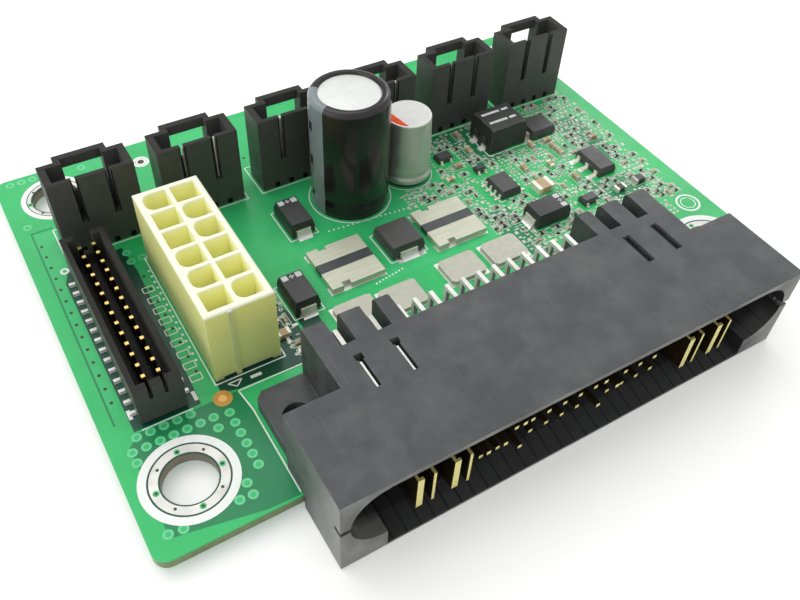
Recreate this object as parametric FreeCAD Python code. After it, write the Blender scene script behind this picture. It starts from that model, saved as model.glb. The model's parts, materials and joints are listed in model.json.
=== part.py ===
import FreeCAD, Part
import math
import os

Vector = FreeCAD.Vector

# A power distribution board: a bare circuit board that takes power from a blind-mate connector
# on its front edge and shares it between one main header and a row of small wire headers.
# All sizes are in millimetres. Places on the board are given as u (from its left edge),
# v (from its front edge) and h (above its top face).

# Circuit board; its length and depth follow from what stands on it
board_thickness = 1.6
board_corner_radius = 2.0
board_back_margin = 17.0
board_right_margin = 6.7
wire_end_margin = 3.9
mount_hole_diameter = 7.2
front_left_hole_inset = (7.5, 8.9)
back_left_hole_inset = (8.0, 7.6)
front_right_hole_inset = (7.5, 8.3)
back_right_hole_inset = (7.5, 7.6)

# Leads that pass through the board stand out below it by this much
tail_reach = 1.2

# Power connector housing, with its mating face towards the front
connector_shift = 28.8
connector_length = 71.8
connector_overhang = 9.5
connector_top = 11.6
connector_drop = 1.0
connector_edge_clearance = 0.2
shell_back_v = 4.3
core_length = 56.6
core_back_v = 9.9
lip_thickness = 0.8
floor_thickness = 1.25
lead_in_length = 3.5
lead_in_drop = 0.95
cavity_depth = 8.0
guide_spacing = 59.2
guide_radius = 5.0
guide_height = 5.7
guide_slot_height = 0.8
guide_slot_depth = 6.0
floor_rib_height = 0.35
floor_rib_width = 1.2
floor_rib_pitch = 10.16

# Fingers that stand between the power contacts at the back of the housing
power_bank_length = 12.5
finger_back_v = 15.1
finger_gap = 2.2
finger_chamfer = 0.6
vent_width = 0.7
vent_front_v = 2.4
vent_back_v = 7.9
vent_head_width = 1.2
vent_head_length = 1.0

# Ears that screw the housing to the board
ear_inset = 0.55
ear_back_v = 15.1
ear_height = 2.2
ear_corner = 1.0
ear_hole_diameter = 4.2
ear_hole_inset = 4.1
ear_hole_v = 9.3

# Signal pins, bent down to the board behind the housing
signal_columns = 12
signal_rows = 4
signal_pitch = 2.54
signal_shift = -1.2
signal_pin_size = 0.6
signal_first_height = 2.55
signal_first_tail_v = 5.28
signal_tip_inset = 2.1
signal_long_tip_inset = 0.9
signal_long_pins = [(2, 0), (7, 0), (0, 1), (1, 1), (8, 1), (2, 2), (7, 2)]
chamber_clearance = 0.5

# Power contacts: a forked blade in the cavity and one stem with two tails behind
power_offsets = [-24.15, -19.0, 19.0, 24.15]
blade_thickness = 0.4
blade_spacing = 2.2
blade_shift = 0.4
blade_bottom = 0.2
blade_top = 6.2
blade_tip_inset = 1.2
blade_fold = 0.9
web_front_v = 1.5
web_thickness = 0.7
stem_thickness = 0.6
stem_back_v = 13.6
stem_corner = 1.1
power_tail_width = 1.0
power_tail_gap = 1.0
power_shoulder = 0.4

# Main header with two columns of large cells
main_gap = 3.7
main_front_gap = 5.8
main_wall = 0.95
main_height = 12.8
main_rows = 6
main_columns = 2
main_pitch = 4.2
main_cell = 3.5
main_cell_corner = 1.0
main_floor = 2.6
main_standoff = 0.4
main_foot = 1.2
main_keyed_cells = [(0, 5), (0, 2), (0, 1), (1, 4), (1, 3), (1, 0)]
main_pin_size = 1.0
main_pin_height = 8.4
main_rib_inset = 3.0
main_rib_width = 0.7
main_rib_depth = 0.35
main_latch_v = 13.5
main_latch_width = 5.0
main_latch_height = 2.2
main_latch_depth = 1.1
main_latch_top = 1.2

# Surface-mounted box header
box_u = 5.1
box_lead = 1.9
box_end_margin = 2.4
box_width = 6.3
box_height = 7.0
box_wall = 0.8
box_end_wall = 1.0
box_floor = 2.0
box_rows = 14
box_pitch = 2.0
box_pin_size = 0.5
box_pin_height = 6.5
box_foot_thickness = 0.4
box_foot_reach = 0.9
box_notch_width = 2.6
box_notch_depth = 3.4
box_slot_width = 0.5
box_slot_depth = 2.4

# Row of wire headers along the back
wire_count = 6
wire_first_u = 5.9
wire_gap = 3.4
wire_front_gap = 1.3
wire_length = 12.7
wire_depth = 5.1
wire_height = 13.5
wire_side_wall = 1.1
wire_front_wall = 0.7
wire_back_wall = 0.8
wire_floor = 3.0
wire_bridge_start = 2.57
wire_bridge_length = 7.7
wire_bridge_depth = 1.4
wire_bridge_bar = 1.0
wire_bridge_height = 1.6
wire_cheek = 0.9
wire_slot_places = [3.95, 8.9]
wire_slot_width = 0.6
wire_slot_depth = 8.0
wire_pin_count = 4
wire_pin_pitch = 2.54
wire_pin_size = 0.64
wire_pin_height = 9.0

# Large electrolytic capacitor in a shrunk sleeve
large_cap_shift = 1.2
large_cap_front_gap = 3.3
large_cap_diameter = 12.6
large_cap_height = 20.3
large_cap_sleeve = 0.2
large_cap_round = 1.0
large_cap_lip = 1.4
large_cap_recess = 0.5
large_cap_lead_pitch = 5.0
large_cap_lead_size = 0.8

# Small polymer capacitor with a bare can
small_cap_gap = 0.8
small_cap_setback = 0.6
small_cap_diameter = 8.0
small_cap_height = 12.2
small_cap_round = 0.8
small_cap_lead_pitch = 3.5
small_cap_lead_size = 0.6

# Capacitor leads are wires drawn with this many flats
lead_flats = 6

# Current shunts: two tinned plates with a resistive strip welded between them
shunt_side_gap = 10.4
shunt_front_gap = 2.35
second_shunt_gap = 1.7
second_shunt_setback = 0.15
shunt_length = 9.0
shunt_front_width = 3.6
shunt_strip_width = 1.9
shunt_back_width = 3.3
shunt_thickness = 1.0
shunt_strip_thickness = 0.7
shunt_notch_inset = 1.9
shunt_notch_width = 1.3
shunt_notch_depth = 0.8

# Moulded parts with a tab at each end
tab_thickness = 0.25
tab_foot = 1.2
mould_draft = 0.25
diode_gap = 2.3
diode_setback = 4.75
diode_length = 6.5
diode_width = 5.8
diode_height = 2.3
diode_tab_width = 3.0
tantalum_lengths = [7.1, 6.8, 7.0]
tantalum_width = 4.0
tantalum_height = 2.7
tantalum_tab_width = 2.4
tantalum_cap_gap = 2.75
tantalum_shunt_gap = 2.7
tantalum_1_forward = 1.75
tantalum_2_back = 1.7
tantalum_3_step = (10.8, 4.2)
flat_part_length = 5.6
flat_part_width = 4.4
flat_part_height = 1.8
flat_part_tab_width = 2.6
flat_part_step = (23.6, 8.0)

# Leadless power switches in flat metal cans, as steps along and behind their row
switch_front_gap = 4.15
switch_steps = [(-15.9, 0.5), (-8.6, 0.0), (2.5, 0.9), (10.4, 0.9)]
switch_length = 6.3
switch_width = 4.9
switch_height = 0.7
switch_corner = 0.5

# Right-hand area, whose parts are placed by steps along and behind
right_area_length = 31.4

# Moulded packages with bent leads on their left and right sides
relay_step = (15.9, 6.55)
relay_size = (7.6, 6.5, 4.5)
relay_seat = 0.2
relay_lead_pitch = 2.54
relay_lead_width = 1.2
relay_lead_count = 2
driver_step = (8.7, 7.7)
driver_size = (3.9, 4.9, 1.4)
driver_lead_pitch = 1.27
driver_lead_width = 0.42
driver_lead_count = 4
transistor_step = (26.8, 5.2)
transistor_size = (3.6, 6.4, 1.6)
transistor_lead_pitch = 2.3
transistor_lead_width = 0.75
transistor_lead_count = 3
transistor_tab_width = 3.0
package_seat = 0.1
package_lead_reach = 1.1
package_lead_thickness = 0.2

# Small packages with two leads in front and one behind
small_package_steps = [(4.0, 19.0), (19.5, -1.8), (7.9, 13.4)]
small_package_sizes = [(2.9, 2.0, 1.0), (3.0, 1.9, 1.0), (2.0, 1.3, 0.9)]
small_package_lead_spread = 0.33
small_package_lead_width = 0.4
small_package_lead_reach = 0.55

# Chip parts with tinned ends, as length, width, height and long axis
chip_end_share = 0.22
brown_chip = (3.2, 2.5, 1.3, "u")
chip_along = (2.0, 1.25, 0.8, "u")
chip_across = (2.0, 1.25, 0.8, "v")
small_chip_along = (1.6, 0.8, 0.6, "u")
small_chip_across = (1.6, 0.8, 0.6, "v")
left_chip_steps = [(-5.2, -0.4, chip_across), (-5.0, -3.5, chip_along)]
right_chip_steps = [
    (14.55, 4.45, brown_chip),
    (26.2, -2.1, chip_along),
    (2.0, 13.6, small_chip_along),
    (19.7, 8.8, small_chip_across),
]

# Sizes that follow from the cells and pins
main_length = main_pitch * (main_rows - 1) + main_cell + 2 * main_wall
main_width = main_pitch * (main_columns - 1) + main_cell + 2 * main_wall
box_length = box_pitch * (box_rows - 1) + 2 * box_end_margin

# Layout from left to right
box_end_u = box_u + box_width + box_foot_reach
main_u = box_end_u + main_gap
main_end_u = main_u + main_width
connector_centre_u = main_end_u + connector_shift
shunt_1_u = main_end_u + main_latch_depth + shunt_side_gap
diode_u = shunt_1_u + shunt_length + diode_gap + diode_width / 2
shunt_2_u = diode_u + diode_width / 2 + second_shunt_gap
large_cap_u = diode_u - large_cap_shift
small_cap_u = large_cap_u + large_cap_diameter / 2 + small_cap_gap + small_cap_diameter / 2
tantalum_1_u = large_cap_u - large_cap_diameter / 2 - tantalum_cap_gap - tantalum_width / 2
tantalum_2_u = shunt_1_u - tantalum_shunt_gap - tantalum_width / 2

# Layout from front to back
main_v = ear_back_v + main_front_gap
box_v = main_v - box_lead
switch_row_v = finger_back_v + switch_front_gap + switch_width / 2
switch_row_end_v = switch_row_v + switch_width / 2 + max(step for along, step in switch_steps)
shunt_1_v = switch_row_end_v + shunt_front_gap
shunt_2_v = shunt_1_v + second_shunt_setback
shunt_end_v = shunt_1_v + shunt_front_width + shunt_strip_width + shunt_back_width
diode_v = shunt_1_v + diode_setback
large_cap_v = shunt_end_v + large_cap_front_gap + large_cap_diameter / 2
small_cap_v = large_cap_v + small_cap_setback
wire_v = large_cap_v + large_cap_diameter / 2 + wire_front_gap

# The right-hand area starts where the second shunt ends
right_u = shunt_2_u + shunt_length
relay_place = (right_u + relay_step[0], wire_v - relay_step[1])
flat_part_place = (right_u + flat_part_step[0], wire_v - flat_part_step[1])
driver_place = (right_u + driver_step[0], shunt_1_v + driver_step[1])
transistor_place = (right_u + transistor_step[0], shunt_1_v + transistor_step[1])
tantalum_places = [
    (tantalum_1_u, large_cap_v - tantalum_1_forward, "v"),
    (tantalum_2_u, shunt_1_v + tantalum_2_back, "v"),
    (right_u + tantalum_3_step[0], switch_row_v + tantalum_3_step[1], "u"),
]
small_package_places = []
for along, behind in small_package_steps:
    small_package_places.append((right_u + along, shunt_1_v + behind))
chip_places = []
for along, behind, size in right_chip_steps:
    chip_places.append((right_u + along, shunt_1_v + behind, size))
for along, behind, size in left_chip_steps:
    chip_places.append((tantalum_2_u + along, shunt_1_v + behind, size))

# The board reaches past the wire headers and past the right-hand parts
wire_row_pitch = wire_length + wire_gap
wire_end_u = wire_first_u + wire_row_pitch * (wire_count - 1) + wire_length
board_length = max(wire_end_u + wire_end_margin, right_u + right_area_length + board_right_margin)
board_depth = wire_v + wire_depth + board_back_margin
mount_hole_places = [
    front_left_hole_inset,
    (back_left_hole_inset[0], board_depth - back_left_hole_inset[1]),
    (board_length - front_right_hole_inset[0], front_right_hole_inset[1]),
    (board_length - back_right_hole_inset[0], board_depth - back_right_hole_inset[1]),
]

# The origin lies under the middle of the whole part, at the ends of the leads
origin_u = board_length / 2
origin_v = (board_depth - connector_overhang) / 2
board_top_z = board_thickness + tail_reach
tail_end = -board_top_z

# Two places nearer than this are the same place
same_place = 1e-6


def at(u, v, h):
    """Point of the part's frame for a place on the board."""
    return Vector(u - origin_u, v - origin_v, h + board_top_z)


def block(u0, u1, v0, v1, h0, h1):
    """Upright box between two corners."""
    return Part.makeBox(u1 - u0, v1 - v0, h1 - h0, at(u0, v0, h0))


def face_through(points):
    """Flat face with straight sides."""
    return Part.Face(Part.makePolygon(points + [points[0]]))


def prism_along_u(outline, u0, u1):
    """Outline of (v, h) points drawn out along the board's length."""
    points = [at(u0, v, h) for v, h in outline]
    return face_through(points).extrude(Vector(u1 - u0, 0, 0))


def prism_along_v(outline, v0, v1):
    """Outline of (u, h) points drawn out along the board's depth."""
    points = [at(u, v0, h) for u, h in outline]
    return face_through(points).extrude(Vector(0, v1 - v0, 0))


def prism_up(outline, h0, h1):
    """Outline of (u, v) points drawn upwards."""
    points = [at(u, v, h0) for u, v in outline]
    return face_through(points).extrude(Vector(0, 0, h1 - h0))


def rod_up(place, h0, h1, diameter):
    """Upright cylinder."""
    return Part.makeCylinder(diameter / 2, h1 - h0, at(place[0], place[1], h0))


def join(shapes):
    """One solid from shapes that meet."""
    return shapes[0].fuse(shapes[1:]).removeSplitter()


def upright_edges(shape):
    """Edges of a shape that stand upright."""
    found = []
    for edge in shape.Edges:
        bounds = edge.BoundBox
        if max(bounds.XLength, bounds.YLength) < same_place:
            found.append(edge)
    return found


def turned(place, outline):
    """Solid of revolution from (radius, h) points about an upright line."""
    points = [at(place[0] + radius, place[1], h) for radius, h in outline]
    return face_through(points).revolve(at(place[0], place[1], 0), Vector(0, 0, 1), 360)


def moulded_block(centre_u, centre_v, length, width, h0, h1):
    """Moulded body, upright below its parting line and tapered above it."""
    middle = (h0 + h1) / 2
    profiles = []
    for centre, size in ((centre_u, length), (centre_v, width)):
        half = size / 2
        profiles.append([
            (centre - half, h0),
            (centre + half, h0),
            (centre + half, middle),
            (centre + half - mould_draft, h1),
            (centre - half + mould_draft, h1),
            (centre - half, middle),
        ])
    across = prism_along_v(profiles[0], centre_v - width / 2, centre_v + width / 2)
    along = prism_along_u(profiles[1], centre_u - length / 2, centre_u + length / 2)
    return across.common(along)


def solids_of(shapes):
    """Separate like pieces kept together."""
    return Part.makeCompound(shapes)


def connector_u(offset):
    return connector_centre_u + offset


def signal_column_u(column):
    first_u = connector_u(signal_shift - signal_pitch * (signal_columns - 1) / 2)
    return first_u + column * signal_pitch


def signal_pins():
    """Square pins that run back through the housing and bend down into the board."""
    half = signal_pin_size / 2
    pins = []
    for row in range(signal_rows):
        height = signal_first_height + row * signal_pitch
        tail_v = signal_first_tail_v + row * signal_pitch
        for column in range(signal_columns):
            long_pin = (column, row) in signal_long_pins
            inset = signal_long_tip_inset if long_pin else signal_tip_inset
            tip_v = inset - connector_overhang
            outline = [
                (tip_v, height - half),
                (tip_v, height + half),
                (tail_v + half, height + half),
                (tail_v + half, tail_end),
                (tail_v - half, tail_end),
                (tail_v - half, height - half),
            ]
            pin_u = signal_column_u(column)
            pins.append(prism_along_u(outline, pin_u - half, pin_u + half))
    return pins


def power_contacts():
    """Forked blades with a stem that runs back between the fingers and two tails."""
    tip_v = blade_tip_inset - connector_overhang
    web_back_v = web_front_v + web_thickness
    contacts = []
    for offset in power_offsets:
        stem_u = connector_u(offset)
        left_u = stem_u + blade_shift - blade_spacing / 2
        right_u = stem_u + blade_shift + blade_spacing / 2
        half = blade_thickness / 2
        fork = prism_up([
            (left_u - half, tip_v),
            (left_u - half + blade_fold, tip_v),
            (left_u - half + blade_fold, tip_v + blade_thickness),
            (left_u + half, tip_v + blade_thickness),
            (left_u + half, web_front_v),
            (right_u - half, web_front_v),
            (right_u - half, tip_v),
            (right_u + half, tip_v),
            (right_u + half, web_back_v),
            (left_u - half, web_back_v),
        ], blade_bottom, blade_top)
        tail_front = stem_back_v - 2 * power_tail_width - power_tail_gap
        stem = prism_along_u([
            (web_back_v, power_shoulder),
            (web_back_v, blade_top),
            (stem_back_v - stem_corner, blade_top),
            (stem_back_v, blade_top - stem_corner),
            (stem_back_v, tail_end),
            (stem_back_v - power_tail_width, tail_end),
            (stem_back_v - power_tail_width, power_shoulder),
            (tail_front + power_tail_width, power_shoulder),
            (tail_front + power_tail_width, tail_end),
            (tail_front, tail_end),
            (tail_front, power_shoulder),
        ], stem_u - stem_thickness / 2, stem_u + stem_thickness / 2)
        contacts.append(join([fork, stem]))
    return contacts


def connector_ear(side):
    """Low ear at one end of the housing, with its screw hole. side is -1 on the left."""
    outer_u = connector_u(side * (connector_length / 2 - ear_inset))
    inner_u = connector_u(side * core_length / 2)
    ear = prism_up([
        (inner_u, shell_back_v),
        (outer_u, shell_back_v),
        (outer_u, ear_back_v - ear_corner),
        (outer_u - side * ear_corner, ear_back_v),
        (inner_u, ear_back_v),
    ], 0, ear_height)
    hole_u = connector_u(side * (connector_length / 2 - ear_hole_inset))
    return ear.cut(rod_up((hole_u, ear_hole_v), 0, ear_height, ear_hole_diameter))


def power_bank(side):
    """Fingers behind the power contacts on one side of the housing."""
    outer = core_length / 2
    inner = outer - power_bank_length
    low_u = connector_u(min(side * inner, side * outer))
    high_u = connector_u(max(side * inner, side * outer))
    bank = prism_along_u([
        (core_back_v, 0),
        (finger_back_v, 0),
        (finger_back_v, connector_top - finger_chamfer),
        (finger_back_v - finger_chamfer, connector_top),
        (core_back_v, connector_top),
    ], low_u, high_u)
    gaps = []
    for offset in power_offsets:
        if offset * side > 0:
            gap_u = connector_u(offset)
            gaps.append(block(gap_u - finger_gap / 2, gap_u + finger_gap / 2,
                              core_back_v, finger_back_v, 0, connector_top))
    return bank.cut(gaps)


def mating_cavity():
    """Space that the mating connector enters, with a sloped way in over its floor and a round
    guide socket at each end."""
    front_v = -connector_overhang
    back_v = front_v + cavity_depth
    floor_h = -board_thickness - connector_drop + floor_thickness
    half = guide_spacing / 2
    spaces = [block(connector_u(-half), connector_u(half), front_v, back_v,
                    floor_h, connector_top - lip_thickness)]
    spaces.append(prism_along_u([
        (front_v, floor_h),
        (front_v, floor_h - lead_in_drop),
        (front_v + lead_in_length, floor_h),
    ], connector_u(-half), connector_u(half)))
    for side in (-1, 1):
        centre = at(connector_u(side * half), front_v, guide_height)
        spaces.append(Part.makeCylinder(guide_radius, cavity_depth, centre, Vector(0, 1, 0)))
        end_u = connector_u(side * connector_length / 2)
        socket_u = connector_u(side * half)
        spaces.append(block(min(end_u, socket_u), max(end_u, socket_u),
                            front_v, front_v + guide_slot_depth,
                            guide_height - guide_slot_height / 2,
                            guide_height + guide_slot_height / 2))
    return join(spaces)


def floor_ribs():
    """Low ribs on the floor of the mating cavity, behind its sloped way in."""
    front_v = -connector_overhang + lead_in_length
    back_v = -connector_overhang + cavity_depth
    floor_h = -board_thickness - connector_drop + floor_thickness
    count = int(guide_spacing // floor_rib_pitch)
    first_u = connector_u(-floor_rib_pitch * (count - 1) / 2)
    ribs = []
    for index in range(count):
        rib_u = first_u + index * floor_rib_pitch
        ribs.append(block(rib_u - floor_rib_width / 2, rib_u + floor_rib_width / 2,
                          front_v, back_v, floor_h, floor_h + floor_rib_height))
    return ribs


def tail_chamber():
    """Open space under the back of the housing where the lower signal pins bend down."""
    half = signal_pin_size / 2 + chamber_clearance
    second_tail_v = signal_first_tail_v + signal_pitch
    second_height = signal_first_height + signal_pitch
    return block(signal_column_u(0) - half, signal_column_u(signal_columns - 1) + half,
                 signal_first_tail_v - half, second_tail_v + half, 0, second_height + half)


def pin_slots():
    """Slots that run back from the cavity, each for two pins of a column, one above the other."""
    half = signal_pin_size / 2
    front_v = cavity_depth - connector_overhang
    slots = []
    for low_row, back_v in ((0, signal_first_tail_v), (2, core_back_v)):
        low_h = signal_first_height + low_row * signal_pitch - half
        high_h = low_h + signal_pitch + signal_pin_size
        for column in range(signal_columns):
            slot_u = signal_column_u(column)
            slots.append(block(slot_u - half, slot_u + half, front_v, back_v, low_h, high_h))
    return slots


def power_vents():
    """Slots in the top of the housing above the stems, the left-hand ones with a wide back end."""
    vents = []
    for offset in power_offsets:
        vent_u = connector_u(offset)
        vents.append(block(vent_u - vent_width / 2, vent_u + vent_width / 2,
                           vent_front_v, vent_back_v, blade_top, connector_top))
        if offset < 0:
            vents.append(block(vent_u - vent_head_width / 2, vent_u + vent_head_width / 2,
                               vent_back_v - vent_head_length, vent_back_v,
                               blade_top, connector_top))
    return vents


def connector_housing(contacts):
    """Moulded housing that overhangs the front edge of the board."""
    front_v = -connector_overhang
    under_h = -board_thickness - connector_drop
    half = connector_length / 2
    shell = prism_along_u([
        (front_v, under_h),
        (-connector_edge_clearance, under_h),
        (-connector_edge_clearance, 0),
        (shell_back_v, 0),
        (shell_back_v, connector_top),
        (front_v, connector_top),
    ], connector_u(-half), connector_u(half))
    core = block(connector_u(-core_length / 2), connector_u(core_length / 2),
                 shell_back_v, core_back_v, 0, connector_top)
    outside = [shell, core]
    for side in (-1, 1):
        outside.append(power_bank(side))
        outside.append(connector_ear(side))
    housing = join(outside).cut([mating_cavity(), tail_chamber()] + pin_slots())
    housing = join([housing] + floor_ribs())
    return housing.cut(power_vents() + contacts)


def main_header_cells():
    """Centres of the main header's cells, each with its column and row."""
    middle_u = main_u + main_width / 2
    middle_v = main_v + main_length / 2
    cells = []
    for column in range(main_columns):
        for row in range(main_rows):
            cell_u = middle_u + (column - (main_columns - 1) / 2) * main_pitch
            cell_v = middle_v + (row - (main_rows - 1) / 2) * main_pitch
            cells.append((column, row, cell_u, cell_v))
    return cells


def main_header_pins():
    half = main_pin_size / 2
    return [block(u - half, u + half, v - half, v + half, tail_end, main_pin_height)
            for column, row, u, v in main_header_cells()]


def main_header_housing(pins):
    """Housing with plain cells and cells with cut corners that key the plug, a rib and a latch."""
    end_u = main_end_u
    end_v = main_v + main_length
    body = block(main_u, end_u, main_v, end_v, main_standoff, main_height)
    parts = [body]
    for foot_u in (main_u, end_u - main_foot):
        for foot_v in (main_v, end_v - main_foot):
            parts.append(block(foot_u, foot_u + main_foot, foot_v, foot_v + main_foot,
                               0, main_standoff))
    rib_u = main_u + main_rib_inset
    parts.append(block(rib_u, rib_u + main_rib_width, main_v - main_rib_depth, main_v,
                       0, main_height))
    latch_h = main_height - main_latch_top
    latch = prism_along_v([
        (end_u, latch_h),
        (end_u + main_latch_depth, latch_h - main_latch_height),
        (end_u, latch_h - main_latch_height),
    ], main_v + main_latch_v, main_v + main_latch_v + main_latch_width)
    parts.append(latch)
    half = main_cell / 2
    cells = []
    for column, row, u, v in main_header_cells():
        corner = main_cell_corner if (column, row) in main_keyed_cells else 0
        left = [(u - half, v + half - corner), (u - half, v - half + corner)]
        if corner:
            left = [(u - half + corner, v + half)] + left + [(u - half + corner, v - half)]
        outline = left + [(u + half, v - half), (u + half, v + half)]
        cells.append(prism_up(outline, main_floor, main_height))
    return join(parts).cut(cells + pins)


def box_pin_v(row):
    return box_v + box_length / 2 + box_pitch * (row - (box_rows - 1) / 2)


def box_header_pins():
    """Gold pins in two columns, each with a flat foot soldered to the board outside the wall."""
    half = box_pin_size / 2
    middle_u = box_u + box_width / 2
    pins = []
    for side in (-1, 1):
        post_u = middle_u + side * box_pitch / 2
        foot_u = middle_u + side * (box_width / 2 + box_foot_reach)
        outline = [
            (post_u - side * half, 0),
            (foot_u, 0),
            (foot_u, box_foot_thickness),
            (post_u + side * half, box_foot_thickness),
            (post_u + side * half, box_pin_height),
            (post_u - side * half, box_pin_height),
        ]
        for row in range(box_rows):
            pins.append(prism_along_v(outline, box_pin_v(row) - half, box_pin_v(row) + half))
    return pins


def box_header_housing():
    """Open-topped shroud on the feet of its pins, keyed at its back end, slotted for the pins."""
    end_u = box_u + box_width
    end_v = box_v + box_length
    middle_u = box_u + box_width / 2
    body = block(box_u, end_u, box_v, end_v, box_foot_thickness, box_height)
    inside = block(box_u + box_wall, end_u - box_wall, box_v + box_end_wall, end_v - box_end_wall,
                   box_floor, box_height)
    notch = block(middle_u - box_notch_width / 2, middle_u + box_notch_width / 2,
                  end_v - box_end_wall, end_v, box_height - box_notch_depth, box_height)
    cuts = [inside, notch]
    half = box_pin_size / 2
    for side in (-1, 1):
        slot_u = middle_u + side * box_pitch / 2
        cuts.append(block(slot_u - box_slot_width / 2, slot_u + box_slot_width / 2,
                          box_v, box_v + box_end_wall, box_height - box_slot_depth, box_height))
        cuts.append(block(slot_u - half, slot_u + half, box_pin_v(0) - half,
                          box_pin_v(box_rows - 1) + half, box_foot_thickness, box_floor))
    return body.cut(cuts)


def wire_header_pins(left_u):
    half = wire_pin_size / 2
    middle_v = wire_v + (wire_front_wall + wire_depth - wire_back_wall) / 2
    first_u = left_u + wire_length / 2 - wire_pin_pitch * (wire_pin_count - 1) / 2
    pins = []
    for index in range(wire_pin_count):
        pin_u = first_u + index * wire_pin_pitch
        pins.append(block(pin_u - half, pin_u + half, middle_v - half, middle_v + half,
                          tail_end, wire_pin_height))
    return pins


def wire_header_housing(left_u, pins):
    """Shroud with a slotted front wall and, at the back, a latch window under a bridge bar."""
    end_u = left_u + wire_length
    back_v = wire_v + wire_depth
    bridge_u0 = left_u + wire_bridge_start
    bridge_u1 = bridge_u0 + wire_bridge_length
    bridge_v = back_v + wire_bridge_depth
    body = block(left_u, end_u, wire_v, back_v, 0, wire_height)
    bridge = block(bridge_u0, bridge_u1, back_v, bridge_v, 0, wire_height)
    inside = block(left_u + wire_side_wall, end_u - wire_side_wall,
                   wire_v + wire_front_wall, back_v - wire_back_wall, wire_floor, wire_height)
    channel = block(bridge_u0 + wire_cheek, bridge_u1 - wire_cheek,
                    back_v - wire_back_wall, bridge_v - wire_bridge_bar, wire_floor, wire_height)
    window = block(bridge_u0 + wire_cheek, bridge_u1 - wire_cheek,
                   bridge_v - wire_bridge_bar, bridge_v,
                   wire_floor, wire_height - wire_bridge_height)
    cuts = [inside, channel, window]
    for place in wire_slot_places:
        slot_u = left_u + place
        cuts.append(block(slot_u - wire_slot_width / 2, slot_u + wire_slot_width / 2,
                          wire_v, wire_v + wire_front_wall,
                          wire_height - wire_slot_depth, wire_height))
    return join([body, bridge]).cut(cuts + pins)


def lead_pair(place, pitch, size, top):
    """Two leads side by side, each a six-sided wire."""
    leads = []
    for side in (-1, 1):
        lead_u = place[0] + side * pitch / 2
        corners = []
        for step in range(lead_flats):
            turn = 2 * math.pi * step / lead_flats
            corners.append((lead_u + size / 2 * math.cos(turn), place[1] + size / 2 * math.sin(turn)))
        leads.append(prism_up(corners, tail_end, top))
    return leads


def large_capacitor():
    """Can, the sleeve shrunk over it with its lip folded onto the top, and the leads."""
    place = (large_cap_u, large_cap_v)
    radius = large_cap_diameter / 2
    inner = radius - large_cap_sleeve
    can_top = large_cap_height - large_cap_recess
    can = rod_up(place, 0, can_top, 2 * inner)
    sleeve = turned(place, [
        (inner, 0),
        (radius, 0),
        (radius, large_cap_height - large_cap_round),
        (radius - large_cap_round, large_cap_height),
        (radius - large_cap_lip, can_top),
        (inner, can_top),
    ])
    leads = lead_pair(place, large_cap_lead_pitch, large_cap_lead_size, 0)
    return can, sleeve, leads


def small_capacitor():
    """Bare can with a rounded top edge, and the leads."""
    place = (small_cap_u, small_cap_v)
    radius = small_cap_diameter / 2
    can = turned(place, [
        (0, 0),
        (radius, 0),
        (radius, small_cap_height - small_cap_round),
        (radius - small_cap_round, small_cap_height),
        (0, small_cap_height),
    ])
    leads = lead_pair(place, small_cap_lead_pitch, small_cap_lead_size, 0)
    return can, leads


def shunt(place):
    """Two notched plates and the strip between them."""
    u0, v0 = place
    u1 = u0 + shunt_length
    strip_v = v0 + shunt_front_width
    back_v = strip_v + shunt_strip_width
    end_v = back_v + shunt_back_width
    notch_u0 = u0 + shunt_notch_inset
    notch_u1 = notch_u0 + shunt_notch_width
    front = block(u0, u1, v0, strip_v, 0, shunt_thickness)
    front = front.cut(block(notch_u0, notch_u1, v0, v0 + shunt_notch_depth, 0, shunt_thickness))
    back = block(u0, u1, back_v, end_v, 0, shunt_thickness)
    back = back.cut(block(notch_u0, notch_u1, end_v - shunt_notch_depth, end_v,
                          0, shunt_thickness))
    strip = block(u0, u1, strip_v, back_v,
                  shunt_thickness - shunt_strip_thickness, shunt_thickness)
    return [front, back], strip


def tabbed_part(place, length, width, height, tab_width):
    """Moulded body with a tab folded down and under at each end."""
    centre_u, centre_v, axis = place
    along_u = axis == "u"
    body_length = length - 2 * tab_thickness
    middle = (tab_thickness + height) / 2
    if along_u:
        body = moulded_block(centre_u, centre_v, body_length, width, tab_thickness, height)
    else:
        body = moulded_block(centre_u, centre_v, width, body_length, tab_thickness, height)
    tabs = []
    for side in (-1, 1):
        outer = side * length / 2
        wall = side * body_length / 2
        foot = side * (length / 2 - tab_foot)
        path = [(foot, 0), (outer, 0), (outer, middle), (wall, middle),
                (wall, tab_thickness), (foot, tab_thickness)]
        if along_u:
            outline = [(centre_u + d, h) for d, h in path]
            tabs.append(prism_along_v(outline, centre_v - tab_width / 2, centre_v + tab_width / 2))
        else:
            outline = [(centre_v + d, h) for d, h in path]
            tabs.append(prism_along_u(outline, centre_u - tab_width / 2, centre_u + tab_width / 2))
    return body, tabs


def bent_lead(wall, side, seat, height, reach):
    """Outline of a lead that drops down a body's side and turns out into a foot."""
    t = package_lead_thickness
    top = seat + height / 2
    path = [(0, top), (t, top), (t, t), (reach, t), (reach, 0), (0, 0)]
    return [(wall + side * d, h) for d, h in path]


def side_leads(centre, size, seat, count, pitch, width, side):
    """Row of leads on the left (side -1) or right of a package."""
    centre_u, centre_v = centre
    outline = bent_lead(centre_u + side * size[0] / 2, side, seat, size[2], package_lead_reach)
    leads = []
    for index in range(count):
        lead_v = centre_v + (index - (count - 1) / 2) * pitch
        leads.append(prism_along_v(outline, lead_v - width / 2, lead_v + width / 2))
    return leads


def package_body(centre, size, seat):
    length, width, height = size
    return moulded_block(centre[0], centre[1], length, width, seat, seat + height)


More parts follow.
